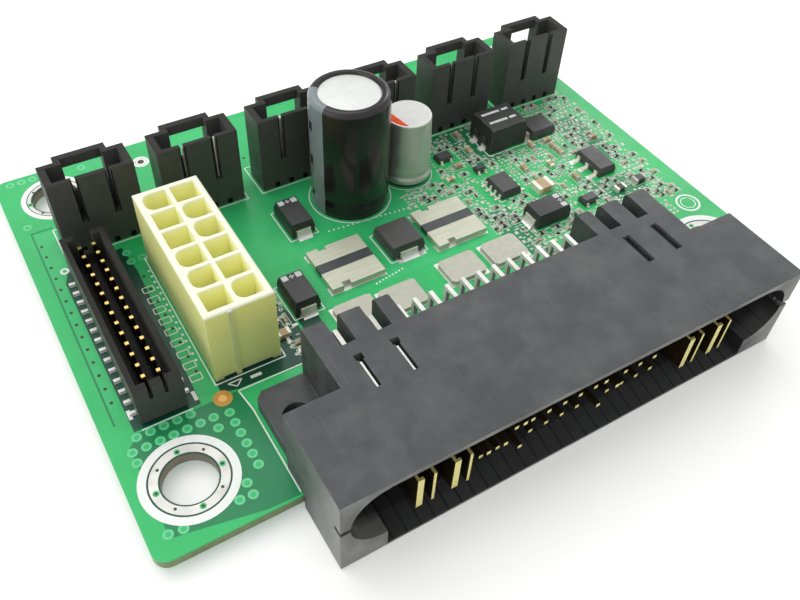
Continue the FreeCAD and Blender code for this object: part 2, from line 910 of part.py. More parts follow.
def small_package_leads(centre, size):
    """Two leads in front of a small package and one behind it."""
    centre_u, centre_v = centre
    length, width, height = size
    spread = length * small_package_lead_spread
    half = small_package_lead_width / 2
    leads = []
    for side, offsets in ((-1, (-spread, spread)), (1, (0,))):
        outline = bent_lead(centre_v + side * width / 2, side, package_seat, height,
                            small_package_lead_reach)
        for offset in offsets:
            lead_u = centre_u + offset
            leads.append(prism_along_u(outline, lead_u - half, lead_u + half))
    return leads


def chip_part(centre_u, centre_v, size):
    """Chip with a tinned cap at each end."""
    length, width, height, axis = size
    cap = length * chip_end_share
    spans = ((-length / 2, cap - length / 2), (cap - length / 2, length / 2 - cap),
             (length / 2 - cap, length / 2))
    pieces = []
    for low, high in spans:
        if axis == "u":
            pieces.append(block(centre_u + low, centre_u + high,
                                centre_v - width / 2, centre_v + width / 2, 0, height))
        else:
            pieces.append(block(centre_u - width / 2, centre_u + width / 2,
                                centre_v + low, centre_v + high, 0, height))
    return pieces[1], [pieces[0], pieces[2]]


def power_switch(centre_u, centre_v):
    """Flat metal can with cut corners, soldered face down."""
    long_half = switch_length / 2
    short_half = switch_width / 2
    corners = []
    for a, b in ((-1, -1), (1, -1), (1, 1), (-1, 1)):
        on_side = (centre_u + a * long_half, centre_v + b * (short_half - switch_corner))
        on_end = (centre_u + a * (long_half - switch_corner), centre_v + b * short_half)
        corners.extend([on_side, on_end] if a == b else [on_end, on_side])
    return prism_up(corners, 0, switch_height)


def circuit_board(leads):
    """Board with rounded corners, mounting holes and a hole for every lead."""
    board = block(0, board_length, 0, board_depth, -board_thickness, 0)
    board = board.makeFillet(board_corner_radius, upright_edges(board))
    holes = [rod_up(place, -board_thickness, 0, mount_hole_diameter)
             for place in mount_hole_places]
    return board.cut(holes + leads)


def build():
    """Every node of the part by name."""
    nodes = {}
    pins = signal_pins()
    contacts = power_contacts()
    nodes["power_connector_housing"] = connector_housing(contacts)
    nodes["signal_pins"] = solids_of(pins)
    nodes["power_contacts"] = solids_of(contacts)
    through_leads = pins + contacts

    main_pins = main_header_pins()
    nodes["main_header_housing"] = main_header_housing(main_pins)
    nodes["main_header_pins"] = solids_of(main_pins)
    through_leads = through_leads + main_pins

    nodes["box_header_housing"] = box_header_housing()
    nodes["box_header_pins"] = solids_of(box_header_pins())

    for index in range(wire_count):
        left_u = wire_first_u + index * wire_row_pitch
        header_pins = wire_header_pins(left_u)
        nodes["wire_header_housing_%d" % (index + 1)] = wire_header_housing(left_u, header_pins)
        nodes["wire_header_pins_%d" % (index + 1)] = solids_of(header_pins)
        through_leads = through_leads + header_pins

    can, sleeve, leads = large_capacitor()
    nodes["large_capacitor_can"] = can
    nodes["large_capacitor_sleeve"] = sleeve
    nodes["large_capacitor_leads"] = solids_of(leads)
    through_leads = through_leads + leads
    can, leads = small_capacitor()
    nodes["small_capacitor_can"] = can
    nodes["small_capacitor_leads"] = solids_of(leads)
    through_leads = through_leads + leads

    for index, place in enumerate(((shunt_1_u, shunt_1_v), (shunt_2_u, shunt_2_v))):
        plates, strip = shunt(place)
        nodes["shunt_plates_%d" % (index + 1)] = solids_of(plates)
        nodes["shunt_strip_%d" % (index + 1)] = strip

    body, tabs = tabbed_part((diode_u, diode_v, "v"), diode_length, diode_width, diode_height,
                             diode_tab_width)
    nodes["diode_body"] = body
    nodes["diode_tabs"] = solids_of(tabs)
    for index, place in enumerate(tantalum_places):
        body, tabs = tabbed_part(place, tantalum_lengths[index], tantalum_width, tantalum_height,
                                 tantalum_tab_width)
        nodes["tantalum_body_%d" % (index + 1)] = body
        nodes["tantalum_tabs_%d" % (index + 1)] = solids_of(tabs)
    body, tabs = tabbed_part(flat_part_place + ("u",), flat_part_length, flat_part_width,
                             flat_part_height, flat_part_tab_width)
    nodes["flat_diode_body"] = body
    nodes["flat_diode_tabs"] = solids_of(tabs)

    for index, (along, behind) in enumerate(switch_steps):
        switch = power_switch(connector_u(along), switch_row_v + behind)
        nodes["power_switch_%d" % (index + 1)] = switch

    nodes["relay_body"] = package_body(relay_place, relay_size, relay_seat)
    leads = []
    for side in (-1, 1):
        leads = leads + side_leads(relay_place, relay_size, relay_seat, relay_lead_count,
                                   relay_lead_pitch, relay_lead_width, side)
    nodes["relay_leads"] = solids_of(leads)

    nodes["driver_body"] = package_body(driver_place, driver_size, package_seat)
    leads = []
    for side in (-1, 1):
        leads = leads + side_leads(driver_place, driver_size, package_seat, driver_lead_count,
                                   driver_lead_pitch, driver_lead_width, side)
    nodes["driver_leads"] = solids_of(leads)

    nodes["transistor_body"] = package_body(transistor_place, transistor_size, package_seat)
    leads = side_leads(transistor_place, transistor_size, package_seat, transistor_lead_count,
                       transistor_lead_pitch, transistor_lead_width, -1)
    leads = leads + side_leads(transistor_place, transistor_size, package_seat, 1,
                               transistor_lead_pitch, transistor_tab_width, 1)
    nodes["transistor_leads"] = solids_of(leads)

    bodies = []
    leads = []
    for place, size in zip(small_package_places, small_package_sizes):
        bodies.append(package_body(place, size, package_seat))
        leads = leads + small_package_leads(place, size)
    nodes["small_package_bodies"] = solids_of(bodies)
    nodes["small_package_leads"] = solids_of(leads)

    bodies = []
    ends = []
    for chip_u, chip_v, size in chip_places:
        body, caps = chip_part(chip_u, chip_v, size)
        bodies.append(body)
        ends = ends + caps
    nodes["chip_bodies"] = solids_of(bodies)
    nodes["chip_ends"] = solids_of(ends)

    nodes["circuit_board"] = circuit_board(through_leads)
    return nodes


os.makedirs("parts", exist_ok=True)
for name, shape in build().items():
    shape.exportStep("parts/%s.step" % name)
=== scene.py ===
import json
import math
import random

import bmesh
import bpy
from mathutils import Matrix, Vector


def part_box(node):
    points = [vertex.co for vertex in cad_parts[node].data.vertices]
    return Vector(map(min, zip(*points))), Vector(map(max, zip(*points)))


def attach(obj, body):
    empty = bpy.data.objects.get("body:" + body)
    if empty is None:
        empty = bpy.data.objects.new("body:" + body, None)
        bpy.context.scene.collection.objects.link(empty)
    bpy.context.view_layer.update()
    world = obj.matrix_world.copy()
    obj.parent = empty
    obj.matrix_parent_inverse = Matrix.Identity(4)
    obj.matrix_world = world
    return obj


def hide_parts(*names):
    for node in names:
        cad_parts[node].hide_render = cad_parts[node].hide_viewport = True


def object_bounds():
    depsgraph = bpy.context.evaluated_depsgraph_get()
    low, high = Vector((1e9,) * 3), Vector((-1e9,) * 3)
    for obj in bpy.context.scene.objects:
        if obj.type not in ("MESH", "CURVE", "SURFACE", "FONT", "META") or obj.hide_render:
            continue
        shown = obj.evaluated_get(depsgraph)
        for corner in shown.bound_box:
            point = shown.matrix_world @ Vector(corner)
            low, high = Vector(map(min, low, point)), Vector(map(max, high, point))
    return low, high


bl_info = {
    "name": "Power Distribution Board",
    "version": (1, 0, 0),
    "blender": (4, 5, 0),
    "location": "3D View > Sidebar > Power Board",
    "description": "Dresses a power distribution board and sets it on a studio floor",
    "category": "Object",
}

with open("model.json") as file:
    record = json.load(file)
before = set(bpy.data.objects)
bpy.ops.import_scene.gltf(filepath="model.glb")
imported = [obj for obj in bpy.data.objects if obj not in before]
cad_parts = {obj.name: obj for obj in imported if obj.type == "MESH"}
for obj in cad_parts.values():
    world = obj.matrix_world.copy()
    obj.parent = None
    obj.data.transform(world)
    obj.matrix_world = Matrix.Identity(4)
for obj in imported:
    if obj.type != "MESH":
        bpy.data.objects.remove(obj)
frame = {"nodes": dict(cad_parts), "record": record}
NODES = frame["nodes"]
CAD_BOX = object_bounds()
BOARD_LOW, BOARD_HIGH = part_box("circuit_board")
MM = 0.001


def numbered(name, count):
    """Names of like solids, counted from 1."""
    return ["%s_%d" % (name, index + 1) for index in range(count)]


# Depth of the fine grain on surfaces
GRAIN_DEPTH = 0.03 * MM

# Heights of the printed layers above the board, in millimetres
AREA_TOP = 0.012
DOT_TOP = 0.02
PAD_TOP = 0.03
INK_TOP = 0.04

# Mounting holes as (u, v) centres, u from the board's left edge and v from its front edge
MOUNTS = frame["record"]["mounts"]
MOUNT_HOLES = [((mount["pos_m"][0] - BOARD_LOW.x) / MM, (mount["pos_m"][1] - BOARD_LOW.y) / MM)
               for mount in MOUNTS]
MOUNT_HOLE_RADIUS = MOUNTS[0]["dims"]["r_mm"]

# Main header, from the solid that it stands for
MAIN_U = (16.0, 25.6)
MAIN_V = (20.9, 47.3)
MAIN_TOP = 12.8
MAIN_FLOOR = 2.6
MAIN_STANDOFF = 0.4
MAIN_COLUMNS = 2
MAIN_ROWS = 6
MAIN_PITCH = 4.2
MAIN_CELL = 3.5
MAIN_RIB_U = 19.35
MAIN_LATCH_V = (34.4, 39.4)
MAIN_LATCH_H = (9.4, 11.6)
MAIN_LATCH_REACH = 1.1
MAIN_KEYED_CELLS = [(0, 5), (0, 2), (0, 1), (1, 4), (1, 3), (1, 0)]

# Round parts as centre, radius and height
LARGE_CAP = (50.1, 45.8, 6.3, 20.3)
SMALL_CAP = (61.2, 46.4, 4.3, 12.2)
SMALL_CAP_TOP_RADIUS = 3.8

# Power connector: the cavity's reach, the slots above the contacts, and its ears' holes
CONNECTOR_U = (18.5, 90.3)
CAVITY_U = (19.7, 89.1)
CAVITY_V = (-9.45, -1.3)
CAVITY_H = (-2.5, 10.85)
LEFT_VENTS = [30.25, 35.4]
RIGHT_VENTS = [73.4, 78.55]
LEFT_VENT_V = (2.4, 6.9)
RIGHT_VENT_V = (2.4, 7.9)
VENT_SHADE_WIDTH = 1.2
VENT_TOP = 11.6
FINGER_V = (9.95, 13.8)
CONTACT_BACK_H = (6.3, 10.0)
EAR_HOLES = [(22.6, 9.3), (86.2, 9.3)]
EAR_HOLE_RADIUS = 2.1
SOCKET_LENGTH = 5.1
END_SLOT_H = (5.3, 6.1)
END_SLOT_V = (-8.1, -3.5)
# Reach of the painted light on the left end, and the strength of the painted light on the floors of the
# left and right sockets
END_LIGHT_V = (1.0, -8.5)
LEFT_SOCKET_LIGHT = 0.6
RIGHT_SOCKET_LIGHT = 0.15
GROOVE_PITCH = 2.0

# Box header and wire headers, with the webs, blades, and painted-shade slot sides and notches of the
# latter
BOX_PITCH = 2.0
BOX_ROWS = 14
WIRE_HEADERS = numbered("wire_header_housing", 6)
WIRE_HEADER_PINS = numbered("wire_header_pins", 6)
WIRE_PITCH = 2.54
WIRE_PINS = 4
WIRE_WEB_SIZE = (5.88, 0.6)
WIRE_WEB_SHIFT = 0.07
WIRE_WEB_H = (2.95, 7.2)
WIRE_BLADE_SIZE = (1.0, 0.68)
WIRE_BLADE_H = (3.0, 11.6)
WIRE_SLOTS = (3.95, 8.9)
WIRE_SLOT_REACH = 0.39
WIRE_SLOT_SIDE = (0.17, 0.03)
WIRE_SLOT_H = (5.5, 13.47)
WIRE_NOTCH_SIZE = (0.8, 0.05)
WIRE_NOTCH_TOP = 1.0

# Packages: solids that come in numbers, tops that carry marks, and where chip bodies turn black
TANTALUM_BODIES = numbered("tantalum_body", 3)
TANTALUM_TABS = numbered("tantalum_tabs", 3)
POWER_SWITCHES = numbered("power_switch", 4)
TANTALUM_TOP = 2.7
RELAY_TOP = 4.7
MARK_RISE = 0.015
MARK_SINK = 0.01
GLAZE_U = (88.0, 88.5)

# Marks on the board as (u, v) centres
TOOLING_HOLE = (23.0, 70.2)
TOOLING_HOLE_RADIUS = 0.55
COPPER_TARGET = (15.7, 18.0)
CORNER_MARK = (99.1, 17.1)
FIRST_PIN_MARK = (4.5, 50.8)

# Steps of the fine pads that fill the gaps between chip parts
GAP_STEP_U = 0.84
GAP_STEP_V = 0.76

# Camera in the part's frame, and the floor's own glow
CAMERA_PLACE = (-0.052508, -0.080821, 0.094562)
CAMERA_FORWARD = (0.37281, 0.56023, -0.73970)
CAMERA_RIGHT = (0.85567, -0.51594, 0.04049)
CAMERA_LENS = 37.85
CAMERA_SENSOR = 36.0
FLOOR_GLOW = 0.27


def colour(name, description, value):
    """Colour property with its default."""
    return bpy.props.FloatVectorProperty(name=name, description=description, subtype="COLOR",
                                         size=4, min=0.0, max=1.0, default=value + (1.0,))


def length(name, description, value):
    """Length property whose default is given in millimetres."""
    return bpy.props.FloatProperty(name=name, description=description, unit="LENGTH",
                                   subtype="DISTANCE", min=0.0, precision=5, default=value * MM)


class BoardLook(bpy.types.PropertyGroup):
    """Tones of the mask, ink and plating of the circuit board"""
    mask: colour("Mask", "Solder mask over the laminate", (0.032, 0.52, 0.150))
    mask_on_copper: colour("Mask on copper", "Solder mask where copper lies under it",
                           (0.042, 0.54, 0.175))
    # Also painted shade round the front left mounting hole
    mask_mid_and_shade: colour("Mid mask and shade", "Solder mask over the inner copper alone", (0.012, 0.235, 0.085))
    # Also painted shade in the gap under the main header's front
    mask_bare_and_shade: colour("Bare mask and shade", "Solder mask where no copper lies under it",
                      (0.005, 0.070, 0.042))
    mask_dot: colour("Mask dot", "Light rings of the dots in the mask", (0.15, 0.66, 0.31))
    laminate: colour("Laminate", "Cut edge of the glass laminate", (0.20, 0.24, 0.10))
    ink: colour("Ink", "Printed outlines and marks", (0.90, 0.93, 0.90))
    tin: colour("Tin", "Tinned pads, leads and plates", (0.72, 0.72, 0.68))
    fiducial: colour("Fiducial", "Bare ring round the copper target", (0.62, 0.31, 0.050))
    ink_width: length("Ink width", "Width of a printed line", 0.18)
    dot_size: length("Dot size", "Diameter of the light dots in the mask", 1.35)


class ConnectorLook(bpy.types.PropertyGroup):
    """Plastic and plating of the power connector"""
    plastic: colour("Plastic", "Moulded housing of the power connector", (0.040, 0.043, 0.047))
    # The rubbed tone is also painted light: a painted highlight on the edges, and painted light on the
    # front faces, the left end and the sockets' floors
    rubbed: colour("Rubbed", "Rubbed places and edges of that housing", (0.25, 0.255, 0.24))
    # Painted shade: near-black plastic for the inside of the cavity
    inside: colour("Inside", "Unworn plastic inside the cavity", (0.003, 0.003, 0.004))
    cavity_floor: colour("Cavity floor", "Lower lip inside the cavity", (0.026, 0.027, 0.027))
    gold: colour("Gold", "Plating on contacts and pins", (1.0, 0.90, 0.33))
    # Painted shade: the dark tone of the flanks of the contacts and pins
    flank_shade: colour("Flank shade", "Dull flanks of the contacts and pins", (0.030, 0.020, 0.007))
    # The rounded edges are lighter: partly rubbed wear, partly a painted highlight
    edge_width: length("Edge width", "Width of the rounded, edge wear and highlight", 0.18)


class HeaderLook(bpy.types.PropertyGroup):
    """Plastics of the main, box and wire headers"""
    black: colour("Black", "Plastic of the box header and the wire headers", (0.065, 0.065, 0.060))
    # Painted shade: the darker tone of the faces that look up
    black_top_shade: colour("Black top shade", "Faces of those headers that look up", (0.014, 0.013, 0.011))
    # Painted shade: the near-black of the sunken channels along the box header's pins
    black_channel_shade: colour("Black channel shade", "Channels along the box header's pins",
                          (0.003, 0.003, 0.002))
    # Lighter edges: partly wear, partly a painted highlight
    black_edge: colour("Black edge", "Worn edges of the black plastic", (0.10, 0.10, 0.095))
    ivory: colour("Ivory", "Plastic of the main header", (0.80, 0.82, 0.31))
    # Painted highlight: the paler tone of the rim, where the light falls strongest
    ivory_rim_highlight: colour("Ivory rim highlight", "Pale rim of that header", (0.93, 0.93, 0.74))
    # Painted bounce light: the warmer, more yellow tone inside the cells
    ivory_cell_bounce: colour("Ivory cell bounce", "Warm inside of its cells", (0.97, 0.96, 0.46))
    cell_round: length("Cell round", "Radius of the rounded cell corners", 1.25)
    rim_bevel: length("Rim bevel", "Bevel along the main header's rim", 0.16)


class CapacitorLook(bpy.types.PropertyGroup):
    """Film, cans and paint of the capacitors"""
    film: colour("Film", "Sleeve of the large capacitor", (0.015, 0.012, 0.0135))
    stripe: colour("Stripe", "Polarity stripe on the sleeve", (0.22, 0.25, 0.27))
    can: colour("Can", "Bare cans", (0.60, 0.62, 0.57))
    lid: colour("Lid", "Painted top of the small capacitor", (0.74, 0.74, 0.71))
    segment: colour("Segment", "Polarity segment on that top", (0.80, 0.085, 0.022))


class PackageLook(bpy.types.PropertyGroup):
    """Moulded packages, shunts and chip parts"""
    mould: colour("Mould", "Moulded packages", (0.054, 0.055, 0.053))
    tantalum: colour("Tantalum", "Moulded tantalum parts", (0.027, 0.028, 0.029))
    relay: colour("Relay", "Plastic of the relay", (0.020, 0.020, 0.018))
    mark: colour("Mark", "Polarity marks on the packages", (0.62, 0.65, 0.66))
    alloy: colour("Alloy", "Resistive strip of the shunts", (0.075, 0.080, 0.085))
    ceramic: colour("Ceramic", "Brown chip parts", (0.50, 0.36, 0.20))
    seed: bpy.props.IntProperty(name="Seed", description="Scatter of the smallest chip parts",
                                default=7, min=0)


class StageLook(bpy.types.PropertyGroup):
    """Floor and lights"""
    floor: colour("Floor", "Studio floor", (0.86, 0.86, 0.85))
    dome: bpy.props.FloatProperty(name="Dome", description="Strength of the light all round",
                                  default=0.60, min=0.0)
    key: bpy.props.FloatProperty(name="Key", description="Power of the soft light above",
                                 default=2.5, min=0.0, unit="POWER")
    sheen: bpy.props.FloatProperty(name="Sheen", description="Power of the low light behind on the right",
                                   default=0.65, min=0.0, unit="POWER")
    side: bpy.props.FloatProperty(name="Side", description="Power of the soft light on the left",
                                  default=0.8, min=0.0, unit="POWER")


class PowerBoardSettings(bpy.types.PropertyGroup):
    """Looks of the board's pieces and its stage"""
    board: bpy.props.PointerProperty(type=BoardLook)
    connector: bpy.props.PointerProperty(type=ConnectorLook)
    header: bpy.props.PointerProperty(type=HeaderLook)
    capacitor: bpy.props.PointerProperty(type=CapacitorLook)
    package: bpy.props.PointerProperty(type=PackageLook)
    stage: bpy.props.PointerProperty(type=StageLook)


def settings():
    """Settings of the board in the current scene."""
    return bpy.context.scene.power_board


def on_board(u, v, h=0.0):
    """Point of the part's frame for a place on the board, in millimetres."""
    return Vector((BOARD_LOW.x + u * MM, BOARD_LOW.y + v * MM, BOARD_HIGH.z + h * MM))


def board_rectangle(node, margin=0.0):
    """Place of a node seen from above, as u0, u1, v0, v1 in millimetres."""
    low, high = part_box(node)
    return ((low.x - BOARD_LOW.x) / MM - margin, (high.x - BOARD_LOW.x) / MM + margin,
            (low.y - BOARD_LOW.y) / MM - margin, (high.y - BOARD_LOW.y) / MM + margin)


def make_piece(name, mesh, material, stands_for=(), smooth_angle=None):
    """Object from a finished mesh, riding on the board."""
    data = bpy.data.meshes.new(name)
    bmesh.ops.recalc_face_normals(mesh, faces=mesh.faces)
    mesh.to_mesh(data)
    mesh.free()
    data.materials.append(material)
    if smooth_angle is not None:
        data.shade_smooth()
        data.set_sharp_from_angle(angle=math.radians(smooth_angle))
    piece = bpy.data.objects.new(name, data)
    bpy.context.scene.collection.objects.link(piece)
    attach(piece, "root")
    if stands_for:
        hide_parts(*stands_for)
    return piece


def dress(material, *names):
    """Puts a material on solids of the frame."""
    for name in names:
        if name not in NODES:
            raise RuntimeError("The frame has no solid named " + name)
        node = NODES[name]
        if not node.material_slots:
            node.data.materials.append(material)
        node.material_slots[0].link = "OBJECT"
        node.material_slots[0].material = material


def circle(centre, radius, steps):
    """Outline of (u, v) points round a centre."""
    turns = [2 * math.pi * step / steps for step in range(steps)]
    return [(centre[0] + radius * math.cos(t), centre[1] + radius * math.sin(t)) for t in turns]


def rectangle(u0, u1, v0, v1):
    """Outline of (u, v) corners."""
    return [(u0, v0), (u1, v0), (u1, v1), (u0, v1)]


def add_loop(mesh, outline, h):
    """Corners of an outline at one height."""
    return [mesh.verts.new(on_board(u, v, h)) for u, v in outline]


def bridge(mesh, lower, upper):
    """Wall between two loops with as many corners."""
    for i in range(len(lower)):
        j = (i + 1) % len(lower)
        mesh.faces.new((lower[i], lower[j], upper[j], upper[i]))


def add_plate(mesh, outline, top, bottom=0.0):
    """Flat plate over an outline, with its sides and no underside."""
    upper = add_loop(mesh, outline, top)
    mesh.faces.new(upper)
    bridge(mesh, add_loop(mesh, outline, bottom), upper)


def add_ring(mesh, centre, inner, outer, top, steps=48):
    """Flat ring on the board."""
    loops = [add_loop(mesh, circle(centre, radius, steps), h)
             for radius, h in ((inner, 0.0), (inner, top), (outer, top), (outer, 0.0))]
    for lower, upper in zip(loops, loops[1:]):
        bridge(mesh, lower, upper)


def add_stroke(mesh, start, end, width):
    """Printed line between two places."""
    du = end[0] - start[0]
    dv = end[1] - start[1]
    reach = math.hypot(du, dv)
    a = -dv / reach * width / 2
    b = du / reach * width / 2
    add_plate(mesh, [(start[0] - a, start[1] - b), (end[0] - a, end[1] - b),
                     (end[0] + a, end[1] + b), (start[0] + a, start[1] + b)], INK_TOP)


def add_outline(mesh, points, width, closed=True):
    """Printed line through places."""
    last = len(points) if closed else len(points) - 1
    for i in range(last):
        add_stroke(mesh, points[i], points[(i + 1) % len(points)], width)


def add_block(mesh, u, v, size, h0, h1, bevel, turned=False):
    """Block with bevelled upper edges, seen from above as size long and wide."""
    half_u, half_v = (size[1] / 2, size[0] / 2) if turned else (size[0] / 2, size[1] / 2)
    loops = []
    for h, inset in ((h0, 0.0), (h1 - bevel, 0.0), (h1, bevel)):
        outline = rectangle(u - half_u + inset, u + half_u - inset,
                            v - half_v + inset, v + half_v - inset)
        loops.append(add_loop(mesh, outline, h))
    for lower, upper in zip(loops, loops[1:]):
        bridge(mesh, lower, upper)
    mesh.faces.new(loops[-1])


def add_turned(mesh, centre, profile, steps):
    """Surface turned about an upright line from (radius, height) points."""
    loops = []
    for radius, h in profile:
        if radius == 0:
            loops.append([mesh.verts.new(on_board(centre[0], centre[1], h))])
        else:
            loops.append([mesh.verts.new(on_board(u, v, h))
                          for u, v in circle(centre, radius, steps)])
    for lower, upper in zip(loops, loops[1:]):
        for i in range(steps):
            j = (i + 1) % steps
            if len(lower) == 1:
                mesh.faces.new((lower[0], upper[j], upper[i]))
            elif len(upper) == 1:
                mesh.faces.new((lower[i], lower[j], upper[0]))
            else:
                mesh.faces.new((lower[i], lower[j], upper[j], upper[i]))


def arc_profile(centre_r, centre_h, radius, start, end, steps):
    """Points of a rounded corner in a turned profile, angles in degrees."""
    points = []
    for step in range(steps + 1):
        turn = math.radians(start + (end - start) * step / steps)
        points.append((centre_r + radius * math.cos(turn), centre_h + radius * math.sin(turn)))
    return points


def new_group(name, inputs, outputs):
    """Empty shader node group with its named sockets."""
    group = bpy.data.node_groups.new(name, "ShaderNodeTree")
    for label, kind, value in inputs:
        socket = group.interface.new_socket(label, in_out="INPUT", socket_type=kind)
        socket.default_value = value
    for label, kind in outputs:
        group.interface.new_socket(label, in_out="OUTPUT", socket_type=kind)
    entry = group.nodes.new("NodeGroupInput")
    leave = group.nodes.new("NodeGroupOutput")
    return group, entry.outputs, leave.inputs


def join(tree, value, socket):
    """Links a socket, or sets a plain value."""
    if isinstance(value, bpy.types.NodeSocket):
        tree.links.new(value, socket)
    else:
        socket.default_value = value


def maths(tree, operation, a, b=0.0):
    """Result of one operation on two values."""
    node = tree.nodes.new("ShaderNodeMath")
    node.operation = operation
    join(tree, a, node.inputs[0])
    join(tree, b, node.inputs[1])
    return node.outputs[0]


def ramp(tree, value, low, high, to_low=0.0, to_high=1.0):
    """Value carried from one range to another and held inside it."""
    node = tree.nodes.new("ShaderNodeMapRange")
    join(tree, value, node.inputs["Value"])
    for label, number in (("From Min", low), ("From Max", high),
                          ("To Min", to_low), ("To Max", to_high)):
        join(tree, number, node.inputs[label])
    return node.outputs["Result"]


def between(tree, value, low, high, soft):
    """Mask of a value that lies between two bounds, with soft edges."""
    above = ramp(tree, value, low - soft, low + soft)
    below = ramp(tree, value, high + soft, high - soft)
    return maths(tree, "MULTIPLY", above, below)


def blend(tree, mask, a, b):
    """Colour a where the mask is 0 and b where it is 1."""
    node = tree.nodes.new("ShaderNodeMix")
    node.data_type = "RGBA"
    join(tree, mask, node.inputs[0])
    join(tree, a, node.inputs[6])
    join(tree, b, node.inputs[7])
    return node.outputs[2]


def noise(tree, scale, detail=2.0, vector=None):
    """Soft noise over the part's own frame, or over a given vector."""
    node = tree.nodes.new("ShaderNodeTexNoise")
    join(tree, scale, node.inputs["Scale"])
    join(tree, detail, node.inputs["Detail"])
    if vector is None:
        vector = tree.nodes.new("ShaderNodeTexCoord").outputs["Object"]
    tree.links.new(vector, node.inputs["Vector"])
    return node.outputs[0]


def place_split(tree):
    """The x, y and z of a place in the part's frame."""
    node = tree.nodes.new("ShaderNodeSeparateXYZ")
    tree.links.new(tree.nodes.new("ShaderNodeTexCoord").outputs["Object"], node.inputs[0])
    return node.outputs


def tone_drift():
    """Colour that grows lighter and darker in soft patches."""
    group, given, out = new_group(
        "Tone drift",
        [("Color", "NodeSocketColor", (0.5, 0.5, 0.5, 1)), ("Scale", "NodeSocketFloat", 200.0),
         ("Spread", "NodeSocketFloat", 0.1)],
        [("Color", "NodeSocketColor")])
    value = noise(group, given["Scale"], 3.0)
    low = maths(group, "SUBTRACT", 1.0, given["Spread"])
    high = maths(group, "ADD", 1.0, given["Spread"])
    scaled = group.nodes.new("ShaderNodeVectorMath")
    scaled.operation = "SCALE"
    group.links.new(given["Color"], scaled.inputs[0])
    group.links.new(ramp(group, value, 0.3, 0.7, low, high), scaled.inputs["Scale"])
    group.links.new(scaled.outputs[0], out["Color"])
    return group


def moulded_grain():
    """Fine spark-eroded grain of a moulding, as a height."""
    group, given, out = new_group("Moulded grain", [("Scale", "NodeSocketFloat", 4000.0)],
                                  [("Height", "NodeSocketFloat")])
    fine = noise(group, given["Scale"], 2.0)
    coarse = noise(group, maths(group, "MULTIPLY", given["Scale"], 0.2), 1.0)
    group.links.new(maths(group, "ADD", fine, maths(group, "MULTIPLY", coarse, 0.6)), out["Height"])
    return group


def edge_wear_and_highlight():
    """Mask of the lighter edges, partly rubbed wear and partly painted highlight, and the rounded normal
    there.
    """
    group, given, out = new_group("Edge wear and highlight", [("Width", "NodeSocketFloat", 0.0002)],
                                  [("Mask", "NodeSocketFloat"), ("Normal", "NodeSocketVector")])
    bevel = group.nodes.new("ShaderNodeBevel")
    bevel.samples = 6
    group.links.new(given["Width"], bevel.inputs["Radius"])
    true_normal = group.nodes.new("ShaderNodeNewGeometry").outputs["True Normal"]
    dot = group.nodes.new("ShaderNodeVectorMath")
    dot.operation = "DOT_PRODUCT"
    group.links.new(bevel.outputs[0], dot.inputs[0])
    group.links.new(true_normal, dot.inputs[1])
    edge = ramp(group, dot.outputs["Value"], 0.98, 0.80)
    patchy = ramp(group, noise(group, 900.0, 3.0), 0.32, 0.62)
    group.links.new(maths(group, "MULTIPLY", edge, patchy), out["Mask"])
    group.links.new(bevel.outputs[0], out["Normal"])
    return group


def scuffs():
    """Mask of rubbed patches and long scratches."""
    group, given, out = new_group(
        "Scuffs", [("Scale", "NodeSocketFloat", 120.0), ("Amount", "NodeSocketFloat", 0.5)],
        [("Mask", "NodeSocketFloat")])
    coordinates = group.nodes.new("ShaderNodeTexCoord").outputs["Object"]
    stretched = group.nodes.new("ShaderNodeMapping")
    stretched.inputs["Rotation"].default_value = (0.0, 0.0, 0.4)
    stretched.inputs["Scale"].default_value = (9.0, 0.7, 1.0)
    group.links.new(coordinates, stretched.inputs["Vector"])
    lines = noise(group, given["Scale"], 4.0, stretched.outputs[0])
    patches = ramp(group, noise(group, given["Scale"], 4.0), 0.42, 0.75)
    lines = ramp(group, lines, 0.62, 0.74)
    both = maths(group, "MAXIMUM", patches, maths(group, "MULTIPLY", lines, 0.7))
    group.links.new(maths(group, "MULTIPLY", both, given["Amount"]), out["Mask"])
    return group


def routing():
    """Mask of the tracks that show faintly through the solder mask."""
    group, given, out = new_group("Routing", [("Scale", "NodeSocketFloat", 170.0)],
                                  [("Mask", "NodeSocketFloat")])
    cells = group.nodes.new("ShaderNodeTexVoronoi")
    cells.distance = "CHEBYCHEV"
    group.links.new(given["Scale"], cells.inputs["Scale"])
    group.links.new(group.nodes.new("ShaderNodeTexCoord").outputs["Object"], cells.inputs["Vector"])
    steps = maths(group, "FRACT", maths(group, "MULTIPLY", cells.outputs["Distance"], 5.0))
    group.links.new(ramp(group, steps, 0.42, 0.5), out["Mask"])
    return group


SHARED_EFFECTS = {"tone_drift": tone_drift, "moulded_grain": moulded_grain,
                  "edge_wear_and_highlight": edge_wear_and_highlight, "scuffs": scuffs, "routing": routing}


def effect(tree, name, **values):
    """Places a shared effect in a material with its own values."""
    label = name.replace("_", " ").capitalize()
    group = bpy.data.node_groups.get(label) or SHARED_EFFECTS[name]()
    node = tree.nodes.new("ShaderNodeGroup")
    node.node_tree = group
    for key, value in values.items():
        join(tree, value, node.inputs[key])
    return node.outputs


def new_material(name):
    """Material with a Principled shader, and its node tree."""
    material = bpy.data.materials.new(name)
    material.use_nodes = True
    tree = material.node_tree
    tree.nodes.clear()
    surface = tree.nodes.new("ShaderNodeBsdfPrincipled")
    output = tree.nodes.new("ShaderNodeOutputMaterial")
    tree.links.new(surface.outputs[0], output.inputs["Surface"])
    return material, tree, surface.inputs


def principled_inputs(tree):
    """Inputs of a material's Principled shader."""
    return next(node for node in tree.nodes if node.type == "BSDF_PRINCIPLED").inputs


